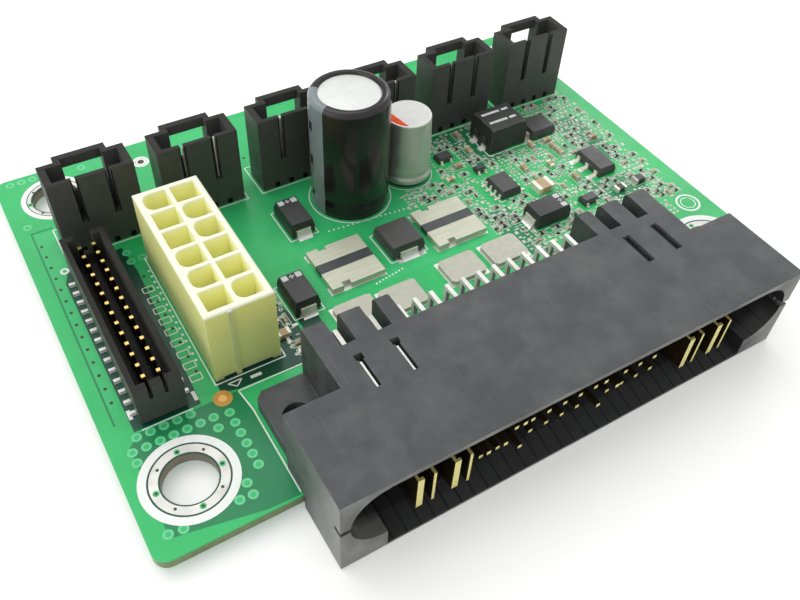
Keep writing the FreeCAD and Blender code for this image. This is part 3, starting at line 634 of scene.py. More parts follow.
def tint_where(tree, mask, tint):
    """Blends another colour over a material's own where the mask is 1."""
    surface = principled_inputs(tree)
    tree.links.new(blend(tree, mask, surface["Base Color"].links[0].from_socket, tint),
                   surface["Base Color"])


def dull_where(tree, mask, amount):
    """Adds to a material's roughness where the mask is 1."""
    surface = principled_inputs(tree)
    tree.links.new(maths(tree, "ADD", surface["Roughness"].links[0].from_socket,
                         maths(tree, "MULTIPLY", mask, amount)), surface["Roughness"])


def bump(tree, height, strength, distance, normal=None):
    """Normal that follows a height."""
    node = tree.nodes.new("ShaderNodeBump")
    node.inputs["Strength"].default_value = strength
    node.inputs["Distance"].default_value = distance
    tree.links.new(height, node.inputs["Height"])
    if normal is not None:
        tree.links.new(normal, node.inputs["Normal"])
    return node.outputs["Normal"]


def mask_material(name, tint, routed):
    """Glossy solder mask in one of its tones."""
    material, tree, surface = new_material(name)
    tone = effect(tree, "tone_drift", Color=tint, Scale=70.0, Spread=0.10)["Color"]
    tracks = effect(tree, "routing", Scale=150.0)["Mask"]
    darker = effect(tree, "tone_drift", Color=tuple(c * 0.72 for c in tint[:3]) + (1.0,),
                    Scale=300.0, Spread=0.05)["Color"]
    base = blend(tree, maths(tree, "MULTIPLY", tracks, routed), tone, darker)
    surface["Specular IOR Level"].default_value = 0.30
    tree.links.new(ramp(tree, noise(tree, 260.0, 3.0), 0.3, 0.7, 0.28, 0.40), surface["Roughness"])
    weave = noise(tree, 900.0, 2.0)
    height = maths(tree, "ADD", weave, maths(tree, "MULTIPLY", tracks, 0.6))
    tree.links.new(bump(tree, height, 0.12, GRAIN_DEPTH), surface["Normal"])
    return material, tree, surface, base


def board_material(look):
    """Solder mask on the faces and the cut laminate on the edges."""
    material, tree, surface, base = mask_material("Board mask", tuple(look.mask), 0.08)
    normal = tree.nodes.new("ShaderNodeSeparateXYZ")
    tree.links.new(tree.nodes.new("ShaderNodeNewGeometry").outputs["Normal"], normal.inputs[0])
    upright = ramp(tree, maths(tree, "ABSOLUTE", normal.outputs[2]), 0.4, 0.6, 1.0, 0.0)
    place = place_split(tree)
    layers = tree.nodes.new("ShaderNodeTexWave")
    layers.wave_type = "BANDS"
    layers.bands_direction = "Z"
    layers.inputs["Scale"].default_value = 900.0
    layers.inputs["Distortion"].default_value = 1.5
    tree.links.new(tree.nodes.new("ShaderNodeTexCoord").outputs["Object"], layers.inputs["Vector"])
    fibre = effect(tree, "tone_drift", Color=tuple(look.laminate), Scale=900.0, Spread=0.25)["Color"]
    edge = blend(tree, maths(tree, "MULTIPLY", layers.outputs["Fac"], 0.35), fibre,
                 (0.05, 0.22, 0.08, 1.0))
    near_top = ramp(tree, place[2], BOARD_HIGH.z - 0.0005, BOARD_HIGH.z)
    edge = blend(tree, near_top, edge, base)
    tree.links.new(blend(tree, upright, base, edge), surface["Base Color"])
    return material


def plain_mask_material(name, tint, routed):
    """Solder mask in one tone all over."""
    material, tree, surface, base = mask_material(name, tuple(tint), routed)
    tree.links.new(base, surface["Base Color"])
    return material


def ink_material(look):
    """Printed ink, a little thin in places."""
    material, tree, surface = new_material("White ink")
    thin = ramp(tree, noise(tree, 2600.0, 3.0), 0.28, 0.42, 0.30, 0.0)
    tone = effect(tree, "tone_drift", Color=tuple(look.ink), Scale=400.0, Spread=0.02)["Color"]
    tree.links.new(blend(tree, thin, tone, (0.45, 0.62, 0.48, 1.0)), surface["Base Color"])
    tree.links.new(ramp(tree, thin, 0.0, 0.35, 0.5, 0.7), surface["Roughness"])
    return material


def surface_material(name, tint, rough, spread=0.12, scale=500.0, bright=1.0, gloss=0.5):
    """Metal, paint or ceramic with soft patches and a fine unevenness; bright is its metalness."""
    material, tree, surface = new_material(name)
    tone = effect(tree, "tone_drift", Color=tuple(tint), Scale=scale, Spread=spread)["Color"]
    tree.links.new(tone, surface["Base Color"])
    surface["Metallic"].default_value = bright
    surface["Specular IOR Level"].default_value = gloss
    tree.links.new(ramp(tree, noise(tree, scale * 2, 3.0), 0.3, 0.7, rough * 0.8, rough * 1.25),
                   surface["Roughness"])
    tree.links.new(bump(tree, noise(tree, scale * 4, 2.0), 0.15, GRAIN_DEPTH), surface["Normal"])
    return material


def facing_split(tree):
    """The x, y and z of the direction that a face looks in."""
    node = tree.nodes.new("ShaderNodeSeparateXYZ")
    tree.links.new(tree.nodes.new("ShaderNodeNewGeometry").outputs["True Normal"], node.inputs[0])
    return node.outputs


def gold_material(name, look, tin, start, lit_tops):
    """Gold plating, bright on the faces that look forward, and up where asked, with painted shade on its
    other faces and tinned tails behind.
    """
    material, tree, surface = new_material(name)
    gold = effect(tree, "tone_drift", Color=tuple(look.gold), Scale=250.0, Spread=0.06)["Color"]
    dull = effect(tree, "tone_drift", Color=tuple(look.flank_shade), Scale=250.0, Spread=0.15)["Color"]
    tail = effect(tree, "tone_drift", Color=tuple(tin), Scale=250.0, Spread=0.08)["Color"]
    facing = facing_split(tree)
    # Painted shade: only faces that look forward, and up where asked, keep the bright gold
    lit_faces = ramp(tree, facing[1], -0.5, -0.9)
    if lit_tops:
        lit_faces = maths(tree, "MAXIMUM", lit_faces, ramp(tree, facing[2], 0.5, 0.9))
    base = blend(tree, lit_faces, dull, gold)
    along = ramp(tree, place_split(tree)[1], start, start + 0.5 * MM)
    tree.links.new(blend(tree, along, base, tail), surface["Base Color"])
    surface["Metallic"].default_value = 0.4
    tree.links.new(ramp(tree, noise(tree, 1500.0, 2.0), 0.3, 0.7, 0.26, 0.40), surface["Roughness"])
    return material


def plastic_material(name, tint, edge_tint, edge_width, rough, scuffed, grain, gloss=0.5):
    """Moulded plastic with grain, lighter edges that are partly rubbed wear and partly painted highlight,
    and scuffs.
    """
    material, tree, surface = new_material(name)
    surface["Specular IOR Level"].default_value = gloss
    tone = effect(tree, "tone_drift", Color=tuple(tint), Scale=700.0, Spread=0.10)["Color"]
    worn = effect(tree, "scuffs", Scale=240.0, Amount=scuffed)["Mask"]
    edges = effect(tree, "edge_wear_and_highlight", Width=edge_width)
    rubbed = effect(tree, "tone_drift", Color=tuple(edge_tint), Scale=600.0, Spread=0.15)["Color"]
    base = blend(tree, worn, tone, rubbed)
    base = blend(tree, edges["Mask"], base, rubbed)
    tree.links.new(base, surface["Base Color"])
    rough_here = maths(tree, "ADD", ramp(tree, noise(tree, 300.0, 3.0), 0.3, 0.7, rough - 0.07,
                                         rough + 0.07), maths(tree, "MULTIPLY", worn, 0.25))
    tree.links.new(rough_here, surface["Roughness"])
    height = effect(tree, "moulded_grain", Scale=grain)["Height"]
    tree.links.new(bump(tree, height, 0.25, GRAIN_DEPTH, edges["Normal"]), surface["Normal"])
    return material


class PowerBoardOperator:
    """Shared options of the operators that dress the board."""
    bl_options = {"REGISTER", "UNDO"}


class POWERBOARD_OT_circuit_board(PowerBoardOperator, bpy.types.Operator):
    """Solder mask in its tones, dots, pads, vias and printed outlines"""
    bl_idname = "power_board.circuit_board"
    bl_label = "Circuit board"

    def execute(self, context):
        look = settings().board
        tin = surface_material("Tinned pad", look.tin, 0.42, bright=0.6)
        ink = ink_material(look)
        light = plain_mask_material("Mask on copper", look.mask_on_copper, 0.05)
        middle = plain_mask_material("Mid mask and shade", look.mask_mid_and_shade, 0.10)
        dark = plain_mask_material("Bare mask and shade", look.mask_bare_and_shade, 0.3)
        dots = plain_mask_material("Mask dot", look.mask_dot, 0.0)
        # Painted shade: dark discs stand in for the dark inside of holes
        hole_shade = surface_material("Painted hole shade", (0.05, 0.045, 0.03, 1.0), 0.5, bright=0.4)
        dress(board_material(look), "circuit_board")
        make_piece("board_mid_areas", filled_areas(MID_AREAS, AREA_TOP), middle)
        make_piece("board_light_areas", filled_areas(LIGHT_AREAS, AREA_TOP + 0.002), light)
        make_piece("board_dark_areas", filled_areas(DARK_AREAS, AREA_TOP + 0.004), dark)
        make_piece("board_dot_rings", mask_dots(look.dot_size / MM / 2, DOT_TOP), dots)
        make_piece("board_dot_middles", mask_dots(look.dot_size / MM * 0.27, DOT_TOP + 0.004), light)
        make_piece("board_ink", printed_outlines(look.ink_width / MM), ink)
        make_piece("board_pads", tinned_pads(), tin)
        make_piece("board_vias", via_holes(), hole_shade)
        make_piece("mount_hole_ink", mount_hole_ink(), ink)
        dull_tin = surface_material("Tinned ring", tuple(c * 0.85 for c in look.tin[:3]) + (1.0,), 0.5,
                                    bright=0.5)
        make_piece("mount_hole_pads", mount_hole_pads(), dull_tin)
        make_piece("mount_hole_gaps", mount_hole_gaps(), dark)
        make_piece("mount_hole_halos", mount_hole_halos(), light)
        make_piece("mount_hole_barrels", mount_hole_barrels(),
                   surface_material("Plated barrel", (0.20, 0.18, 0.14, 1.0), 0.35),
                   smooth_angle=40)
        ring = surface_material("Bare target ring", look.fiducial, 0.5, bright=0.0)
        dot = surface_material("Copper target", (0.86, 0.50, 0.16, 1.0), 0.35, bright=0.7)
        make_piece("target_ring", target_disc(1.3, 32, PAD_TOP), ring)
        make_piece("target_dot", target_disc(0.55, 24, PAD_TOP + 0.01), dot)
        make_piece("solder_joints", solder_joints(), tin, smooth_angle=50)
        make_piece("solder_fillets", solder_fillets(), tin, smooth_angle=50)
        return {"FINISHED"}


# Tones of the mask, as outlines of (u, v) points
LIGHT_AREAS = [
    [(2.3, 22.0), (3.4, 22.0), (3.8, 50.0), (5.0, 53.2), (5.6, 53.2), (5.6, 60.6), (2.6, 60.6)],
    [(13.0, 20.2), (15.2, 20.2), (15.9, 45.2), (14.1, 45.5)],
    [(18.9, 1.0), (18.9, 14.6), (18.4, 17.9), (27.6, 17.7), (27.2, 16.5), (20.4, 16.7),
     (19.2, 14.2), (19.2, 1.0)],
    [(27.3, 36.6), (35.8, 36.6), (35.8, 25.8), (66.2, 25.8), (66.2, 37.6), (58.2, 38.0),
     (66.2, 42.4), (66.2, 52.8), (27.3, 52.8)],
    [(18.9, 49.0), (27.0, 49.0), (27.0, 52.8), (18.9, 52.8)],
    [(14.0, 61.0), (20.0, 61.0), (20.0, 74.4), (14.0, 74.4)],
    [(26.0, 60.8), (52.0, 60.8), (52.0, 74.0), (26.0, 74.0)],
    [(54.0, 60.8), (86.5, 60.8), (86.5, 74.0), (54.0, 74.0)],
    [(66.5, 15.6), (71.5, 15.6), (71.5, 19.5), (66.5, 19.5)],
    [(80.0, 34.0), (88.0, 34.0), (88.0, 41.0), (80.0, 41.0)],
]
# The first outline, round the front left mounting hole and out to the front edge by the connector, is
# painted shade in the mid tone
MID_AREAS = [
    [(2.6, 2.6), (6.0, 2.0), (10.0, 1.2), (14.0, 0.4), (18.3, 0.25), (18.3, 14.5), (17.8, 18.2),
     (4.5, 18.2), (2.6, 16.6)],
    [(1.9, 20.6), (2.15, 20.6), (2.45, 60.9), (5.6, 60.9), (5.6, 61.2), (2.2, 61.2)],
    [(66.8, 20.0), (71.6, 20.0), (71.6, 31.0), (66.8, 31.0)],
    [(86.6, 22.0), (96.0, 22.0), (96.0, 28.6), (86.6, 28.6)],
    [(72.0, 41.8), (80.2, 41.8), (80.2, 52.6), (66.4, 52.6), (66.4, 48.6), (72.0, 48.6)],
    [(92.6, 34.0), (97.8, 31.0), (97.8, 46.0), (92.6, 46.0)],
]
# The second outline reaches under the main header's front edge, so that the gap under the header shows
# painted shade
DARK_AREAS = [
    [(3.9, 18.6), (12.9, 18.6), (13.9, 45.8), (13.4, 51.6), (5.2, 51.6), (3.9, 48.0)],
    [(15.9, 18.9), (18.2, 18.4), (27.8, 18.2), (30.0, 20.0), (30.0, 27.0), (27.2, 36.2),
     (25.4, 36.2), (25.4, 23.4), (16.2, 23.4), (15.9, 20.6)],
    [(30.4, 18.4), (33.2, 18.4), (33.4, 25.4), (33.0, 27.0), (30.4, 27.0)],
    [(38.0, 13.6), (70.0, 13.6), (70.0, 15.4), (38.0, 15.4)],
    [(6.0, 60.4), (19.0, 60.4), (19.0, 61.0), (6.0, 61.0)],
]


def target_disc(radius, steps, top):
    """Disc of the copper target."""
    mesh = bmesh.new()
    add_plate(mesh, circle(COPPER_TARGET, radius, steps), top)
    return mesh


def filled_areas(areas, top):
    """Flat areas of mask, left open at the mounting holes."""
    mesh = bmesh.new()
    for outline in areas:
        across = [u for u, v in outline]
        along = [v for u, v in outline]
        loops = [outline]
        for hole in MOUNT_HOLES:
            if min(across) < hole[0] < max(across) and min(along) < hole[1] < max(along):
                loops.append(circle(hole, MOUNT_HOLE_RADIUS + 0.2, 48))
        edges = []
        for loop in loops:
            corners = add_loop(mesh, loop, top)
            edges += [mesh.edges.new((corners[i - 1], corners[i])) for i in range(len(corners))]
        bmesh.ops.triangle_fill(mesh, edges=edges, use_beauty=True, use_dissolve=False,
                                normal=(0.0, 0.0, 1.0))
    return mesh


def mask_dots(radius, top):
    """Dots in staggered rows about the front left mounting hole and by the headers."""
    dots = [(13.7, 50.2), (13.7, 48.1), (15.5, 48.2), (2.7, 14.1), (13.4, 14.0),
            (13.3, 4.9), (13.3, 3.1), (11.6, 3.2), (2.6, 3.2), (4.4, 3.0)]
    dots += [(3.9 + 1.8 * i, 17.7) for i in range(5)]
    dots += [(2.7 + 1.8 * i, 15.8) for i in range(7)]
    dots += [(15.6, 15.5 - 1.78 * i) for i in range(6)]
    dots += [(2.4 + 1.8 * i, 74.2) for i in range(3)] + [(2.2, 62.8), (13.8, 73.4), (14.0, 66.2)]
    mesh = bmesh.new()
    for place in dots:
        add_plate(mesh, circle(place, radius, 24), top)
    return mesh


# Plain printed bars as u, v, length across and length along
PRINTED_BARS = [(28.0, 20.1, 1.5, 0.5), (27.4, 22.1, 0.5, 1.3), (26.6, 29.2, 0.5, 1.4),
                (29.2, 24.6, 0.9, 0.5), (4.0, 20.6, 0.5, 1.6), (20.3, 19.1, 1.6, 0.5),
                (12.4, 19.4, 0.5, 1.6)]


def printed_outlines(width):
    """Printed outlines of the parts, without any lettering."""
    mesh = bmesh.new()
    frames = [(15.7, 26.0, 20.4, 47.8)]
    frames += [board_rectangle(name, 0.45) for name in WIRE_HEADERS]
    for name in ["diode_body"] + TANTALUM_BODIES + ["relay_body", "flat_diode_body", "driver_body"]:
        frames.append(board_rectangle(name, 0.4))
    for u0, u1, v0, v1 in frames:
        add_outline(mesh, rectangle(u0, u1, v0, v1), width)
    for v in (18.4, 50.4):
        add_stroke(mesh, (4.9, v), (11.7, v), width)
    add_outline(mesh, [(17.2, 19.8), (19.2, 19.8), (18.2, 18.9)], width)
    add_outline(mesh, [(18.45, 0.6), (18.45, 14.4), (18.0, 18.1), (27.4, 18.1)], width, False)
    add_outline(mesh, [(91.4, 0.6), (91.4, 5.6)], width, False)
    for centre, radius in ((LARGE_CAP, 6.75), (SMALL_CAP, 4.5)):
        add_ring(mesh, centre[:2], radius - width / 2, radius + width / 2, INK_TOP)
    add_ring(mesh, CORNER_MARK, 1.75, 2.1, INK_TOP)
    add_ring(mesh, CORNER_MARK, 1.15, 1.3, INK_TOP)
    add_ring(mesh, FIRST_PIN_MARK, 0.32, 0.68, INK_TOP, 24)
    add_ring(mesh, TOOLING_HOLE, 0.95, 1.4, INK_TOP, 32)
    for i in range(9):
        v = 22.4 + i * 2.3
        add_outline(mesh, rectangle(13.15, 14.75, v, v + 1.1), width * 0.8)
    for i in range(16):
        add_plate(mesh, circle((15.35 - 0.02 * i, 44.9 - 1.28 * i), 0.22, 10), INK_TOP)
    for i in range(18):
        add_plate(mesh, circle((43.0 + 0.82 * i, 39.75 - 0.075 * i), 0.16, 8), INK_TOP)
    for i in range(9):
        add_plate(mesh, circle((43.9 + 0.62 * i, 26.2 + 0.1 * i), 0.16, 8), INK_TOP)
    for u, v, across, along in PRINTED_BARS:
        add_plate(mesh, rectangle(u, u + across, v, v + along), INK_TOP)
    return mesh


def lead_places():
    """Centres of the leads that pass through the board, as read from the frame's solids."""
    places = []
    for name in ["signal_pins", "power_contacts", "main_header_pins", "large_capacitor_leads",
                 "small_capacitor_leads"] + WIRE_HEADER_PINS:
        lows = {}
        for vertex in NODES[name].data.vertices:
            if vertex.co.z < BOARD_LOW.z - 0.5 * MM:
                key = (round(vertex.co.x / (1.2 * MM)), round(vertex.co.y / (1.2 * MM)))
                lows.setdefault(key, []).append(vertex.co)
        found = []
        for corners in lows.values():
            middle = sum(corners, Vector()) / len(corners)
            near = [f for f in found if (f - middle).xy.length < 0.9 * MM]
            if near:
                near[0].xy = (near[0].xy + middle.xy) / 2
            else:
                found.append(middle.copy())
        places += [((f.x - BOARD_LOW.x) / MM, (f.y - BOARD_LOW.y) / MM) for f in found]
    return places


def tinned_pads():
    """Tinned pads under the leads and chip parts, and bare test pads."""
    mesh = bmesh.new()
    for place in lead_places():
        add_ring(mesh, place, 0.42, 0.82, PAD_TOP, 16)
    u0, u1, v0, v1 = board_rectangle("box_header_pins")
    for row in range(BOX_ROWS):
        v = (v0 + v1) / 2 + (row - (BOX_ROWS - 1) / 2) * BOX_PITCH
        for left in (u0, u1 - 1.2):
            add_plate(mesh, rectangle(left, left + 1.2, v - 0.36, v + 0.36), PAD_TOP)
    for name in ["shunt_plates_1", "shunt_plates_2", "diode_tabs"] + TANTALUM_TABS + ["flat_diode_tabs"]:
        u0, u1, v0, v1 = board_rectangle(name, 0.25)
        add_plate(mesh, rectangle(u0, u1, v0, v0 + 1.6), PAD_TOP)
        add_plate(mesh, rectangle(u0, u1, v1 - 1.6, v1), PAD_TOP)
    for name in POWER_SWITCHES:
        add_plate(mesh, rectangle(*board_rectangle(name, 0.3)), PAD_TOP)
    u0, u1, v0, v1 = board_rectangle("transistor_leads")
    for row in (-1, 0, 1):
        v = (v0 + v1) / 2 + row * 2.3
        add_plate(mesh, rectangle(u0 - 0.8, u0 + 1.2, v - 0.5, v + 0.5), PAD_TOP)
    u0, u1, v0, v1 = board_rectangle("diode_tabs")
    add_plate(mesh, rectangle(u0 - 0.8, u1 + 1.2, v0 - 0.8, v0 + 1.2), PAD_TOP)
    add_ring(mesh, TOOLING_HOLE, TOOLING_HOLE_RADIUS, 0.85, PAD_TOP, 32)
    return mesh


# Soldered tabs: whether they lie along u, and the reach and rise of their solder
SOLDERED_TABS = [("diode_tabs", False, 0.9, 1.0), ("tantalum_tabs_1", False, 0.8, 1.1),
                 ("tantalum_tabs_2", False, 0.8, 1.1), ("tantalum_tabs_3", True, 0.8, 1.1),
                 ("flat_diode_tabs", True, 0.7, 0.8)]


def solder_fillets():
    """Slopes of solder in front of and behind the tabs of the moulded parts."""
    mesh = bmesh.new()
    for name, along_u, reach, rise in SOLDERED_TABS:
        u0, u1, v0, v1 = board_rectangle(name, -0.02)
        for side in (0, 1):
            if along_u:
                edge = (u0, u1)[side]
                corners = [(edge, v0), (edge, v1)]
            else:
                edge = (v0, v1)[side]
                corners = [(u0, edge), (u1, edge)]
            away = reach if side else -reach
            rows = []
            for step in range(5):
                part = step / 4
                h = PAD_TOP + (rise - PAD_TOP) * (1 - part) ** 2
                shift = away * part
                rows.append([mesh.verts.new(on_board(u + (shift if along_u else 0),
                                                     v + (0 if along_u else shift), h))
                             for u, v in corners])
            for low, high in zip(rows, rows[1:]):
                mesh.faces.new((low[0], low[1], high[1], high[0]))
            for end in (0, 1):
                foot = mesh.verts.new((rows[0][end].co.x, rows[0][end].co.y, rows[-1][end].co.z))
                for low, high in zip(rows, rows[1:-1]):
                    mesh.faces.new((foot, low[end], high[end]))
                mesh.faces.new((foot, rows[-2][end], rows[-1][end]))
    return mesh


def via_holes():
    """Vias, the tooling hole and the holes under the connector's ears as dark discs of painted shade."""
    mesh = bmesh.new()
    places = [(2.75 + 0.004 * (24.4 + 2.55 * i), 24.4 + 2.55 * i) for i in range(14)]
    places += [(14.3 + 0.01 * i, 44.2 - 2.9 * i) for i in range(8)]
    places += [(30.0 + 2.9 * i, 63.0 + (i % 3) * 3.1) for i in range(19)]
    for place in places:
        add_plate(mesh, circle(place, 0.24, 12), INK_TOP)
    add_plate(mesh, circle(TOOLING_HOLE, TOOLING_HOLE_RADIUS, 24), PAD_TOP)
    for place in EAR_HOLES:
        add_plate(mesh, circle(place, EAR_HOLE_RADIUS - 0.05, 32), PAD_TOP)
    for hole, pad, inner, outer in mount_hole_rings():
        for place in circle(hole, (MOUNT_HOLE_RADIUS + pad) / 2, 8):
            add_plate(mesh, circle(place, 0.21, 12), INK_TOP + 0.01)
    return mesh


def mount_hole_rings():
    """Each hole's centre with the reach of its tinned pad and of its printed ring."""
    behind = (BOARD_HIGH.y - BOARD_LOW.y) / MM / 2
    for hole in MOUNT_HOLES:
        if hole[1] < behind:
            yield hole, 4.95, 5.2, 6.3
        else:
            yield hole, 4.35, 4.5, 5.3


def mount_hole_ink():
    """Wide printed ring round each mounting hole."""
    mesh = bmesh.new()
    for hole, pad, inner, outer in mount_hole_rings():
        add_ring(mesh, hole, inner, outer, INK_TOP, 72)
    return mesh


def mount_hole_pads():
    """Tinned ring at each mounting hole."""
    mesh = bmesh.new()
    for hole, pad, inner, outer in mount_hole_rings():
        add_ring(mesh, hole, MOUNT_HOLE_RADIUS + 0.2, pad, PAD_TOP, 72)
    return mesh


def mount_hole_gaps():
    """Dark gaps inside each tinned ring and between it and its printed ring."""
    mesh = bmesh.new()
    for hole, pad, inner, outer in mount_hole_rings():
        add_ring(mesh, hole, MOUNT_HOLE_RADIUS, MOUNT_HOLE_RADIUS + 0.25, DOT_TOP, 72)
        add_ring(mesh, hole, pad - 0.05, inner + 0.05, DOT_TOP, 72)
    return mesh


def mount_hole_halos():
    """Green halos of mask round every other via in the tinned rings."""
    mesh = bmesh.new()
    for hole, pad, inner, outer in mount_hole_rings():
        for place in circle(hole, (MOUNT_HOLE_RADIUS + pad) / 2, 8)[::2]:
            add_ring(mesh, place, 0.2, 0.42, INK_TOP, 16)
    return mesh


def mount_hole_barrels():
    """Plated wall of each mounting hole, a thin tube against the laminate."""
    mesh = bmesh.new()
    thickness = (BOARD_HIGH.z - BOARD_LOW.z) / MM
    wall = MOUNT_HOLE_RADIUS
    for hole in MOUNT_HOLES:
        add_turned(mesh, hole, [(wall - 0.01, -thickness), (wall - 0.06, -thickness),
                                (wall - 0.06, -0.1), (wall - 0.01, 0.01)], 72)
    return mesh


def solder_joints():
    """Domes of solder round the lead ends under the board."""
    mesh = bmesh.new()
    under = (BOARD_LOW.z - BOARD_HIGH.z) / MM
    for place in lead_places():
        profile = [(0.95, under), (0.72, under - 0.18), (0.52, under - 0.55), (0.47, under - 0.85),
                   (0.0, under - 0.95)]
        add_turned(mesh, place, profile, 14)
    return mesh


class POWERBOARD_OT_power_connector(PowerBoardOperator, bpy.types.Operator):
    """Scuffed housing, gold contacts and tinned tails of the power connector"""
    bl_idname = "power_board.power_connector"
    bl_label = "Power connector"

    def execute(self, context):
        look = settings().connector
        tin = settings().board.tin
        plastic = connector_material(look)
        dress(plastic, "power_connector_housing")
        make_piece("end_slot_webs", end_slot_webs(), plastic)
        backs = surface_material("Contact back", (0.66, 0.66, 0.61, 1.0), 0.42, bright=0.6)
        make_piece("contact_backs", contact_backs(), backs)
        behind = on_board(0.0, 1.0).y
        dress(gold_material("Signal pin plating", look, tin, behind, False), "signal_pins")
        dress(gold_material("Power contact plating", look, tin, behind, True), "power_contacts")
        return {"FINISHED"}


def connector_material(look):
    """Scuffed housing plastic, with painted shade inside the cavity and beside the right-hand slots, and
    painted light on the front faces, the left end and the sockets' floors.
    """
    material = plastic_material("Connector plastic", look.plastic, look.rubbed, look.edge_width,
                                0.48, 0.22, 3500.0)
    tree = material.node_tree
    place = place_split(tree)
    facing = facing_split(tree)
    # Painted light: faces that look forward take the rubbed tone in patches
    front = ramp(tree, facing[1], -0.6, -0.9, 0.0, 0.9)
    front = maths(tree, "MULTIPLY", front, ramp(tree, noise(tree, 160.0, 4.0), 0.3, 0.6))
    rubbed = effect(tree, "tone_drift", Color=tuple(look.rubbed), Scale=600.0, Spread=0.15)["Color"]
    low = on_board(CAVITY_U[0], CAVITY_V[0], CAVITY_H[0])
    high = on_board(CAVITY_U[1], CAVITY_V[1], CAVITY_H[1])
    within = 1.0
    for axis in range(3):
        inside = between(tree, place[axis], low[axis], high[axis], 0.01 * MM)
        within = maths(tree, "MULTIPLY", within, inside)
    cavity_shade = effect(tree, "tone_drift", Color=tuple(look.inside), Scale=300.0, Spread=0.2)["Color"]
    lip = effect(tree, "tone_drift", Color=tuple(look.cavity_floor), Scale=300.0, Spread=0.3)["Color"]
    upward = ramp(tree, facing[2], 0.2, 0.7)
    grooves = maths(tree, "FRACT", maths(tree, "DIVIDE", place[0], GROOVE_PITCH * MM))
    grooves = maths(tree, "MULTIPLY", upward, ramp(tree, grooves, 0.10, 0.16))
    middle = (low.x + high.x) / 2
    from_middle = maths(tree, "ABSOLUTE", maths(tree, "SUBTRACT", place[0], middle))
    half = (high.x - low.x) / 2
    socket = ramp(tree, from_middle, half - (SOCKET_LENGTH + 0.1) * MM, half - SOCKET_LENGTH * MM)
    socket = maths(tree, "MULTIPLY", maths(tree, "MULTIPLY", within, upward), socket)
    socket = maths(tree, "MULTIPLY", socket, ramp(tree, place[1], low.y + 3.2 * MM, low.y + 1.6 * MM))
    tint_where(tree, front, rubbed)
    tint_where(tree, end_light(tree, place, facing), rubbed)
    # Painted shade: the inside of the cavity is darkened to near black; its upward faces take the lip's
    # tone, broken by narrow dark grooves
    tint_where(tree, within, blend(tree, grooves, cavity_shade, lip))
    # Painted light on the floors of the sockets at the cavity's ends, stronger on the left
    socket_light = ramp(tree, place[0], middle - MM, middle + MM, LEFT_SOCKET_LIGHT, RIGHT_SOCKET_LIGHT)
    tint_where(tree, maths(tree, "MULTIPLY", socket, socket_light), rubbed)
    # Painted shade beside the right-hand slots
    shade = vent_shade(tree, place, upward)
    tint_where(tree, shade, cavity_shade)
    dull_where(tree, maths(tree, "MAXIMUM", within, shade), 0.42)
    return material


def end_light(tree, place, facing):
    """Mask of painted light on the left end's outward faces, stronger towards its front."""
    left_end = on_board(CONNECTOR_U[0], 0.0).x
    at_end = ramp(tree, place[0], left_end + 0.2 * MM, left_end + 0.1 * MM)
    leftward = maths(tree, "MULTIPLY", at_end, ramp(tree, facing[0], -0.6, -0.9))
    back, front = [on_board(0.0, v).y for v in END_LIGHT_V]
    forward = ramp(tree, place[1], back, front, 0.1, 0.8)
    return maths(tree, "MULTIPLY", leftward, forward)


def end_slot_webs():
    """Webs that close the end slots behind their short open mouths."""
    mesh = bmesh.new()
    for u0, u1 in ((CONNECTOR_U[0], CAVITY_U[0]), (CAVITY_U[1], CONNECTOR_U[1])):
        add_plate(mesh, rectangle(u0, u1, *END_SLOT_V), END_SLOT_H[1], END_SLOT_H[0])
    return mesh


def vent_shade(tree, place, upward):
    """Mask of painted shade on the top face beside the slots above the right-hand contacts, which makes
    the slots look wider.
    """
    shade = 0.0
    for u in RIGHT_VENTS:
        low = on_board(u - VENT_SHADE_WIDTH / 2, RIGHT_VENT_V[0])
        high = on_board(u + VENT_SHADE_WIDTH / 2, RIGHT_VENT_V[1])
        inside = upward
        for axis in range(2):
            inside = maths(tree, "MULTIPLY", inside,
                           between(tree, place[axis], low[axis], high[axis], 0.03 * MM))
        shade = maths(tree, "MAXIMUM", shade, inside)
    return shade


def contact_backs():
    """Upper edges of the left-hand contacts, seen in the slots and behind them between the fingers."""
    mesh = bmesh.new()
    for u in LEFT_VENTS:
        add_block(mesh, u - 0.12, sum(LEFT_VENT_V) / 2, (0.34, LEFT_VENT_V[1] - LEFT_VENT_V[0] - 0.2),
                  CONTACT_BACK_H[0], VENT_TOP - 0.25, 0.05)
        add_block(mesh, u, sum(FINGER_V) / 2, (0.7, FINGER_V[1] - FINGER_V[0]), *CONTACT_BACK_H, 0.05)
    return mesh


class POWERBOARD_OT_main_header(PowerBoardOperator, bpy.types.Operator):
    """Ivory main header with plain and rounded cells"""
    bl_idname = "power_board.main_header"
    bl_label = "Main header"

    def execute(self, context):
        look = settings().header
        ivory = ivory_material(look)
        mesh = main_header_mesh(look.cell_round / MM, look.rim_bevel / MM)
        make_piece("main_header_shell", mesh, ivory, ["main_header_housing"],
                   smooth_angle=35)
        dress(surface_material("Header pin", settings().board.tin, 0.28), "main_header_pins")
        return {"FINISHED"}


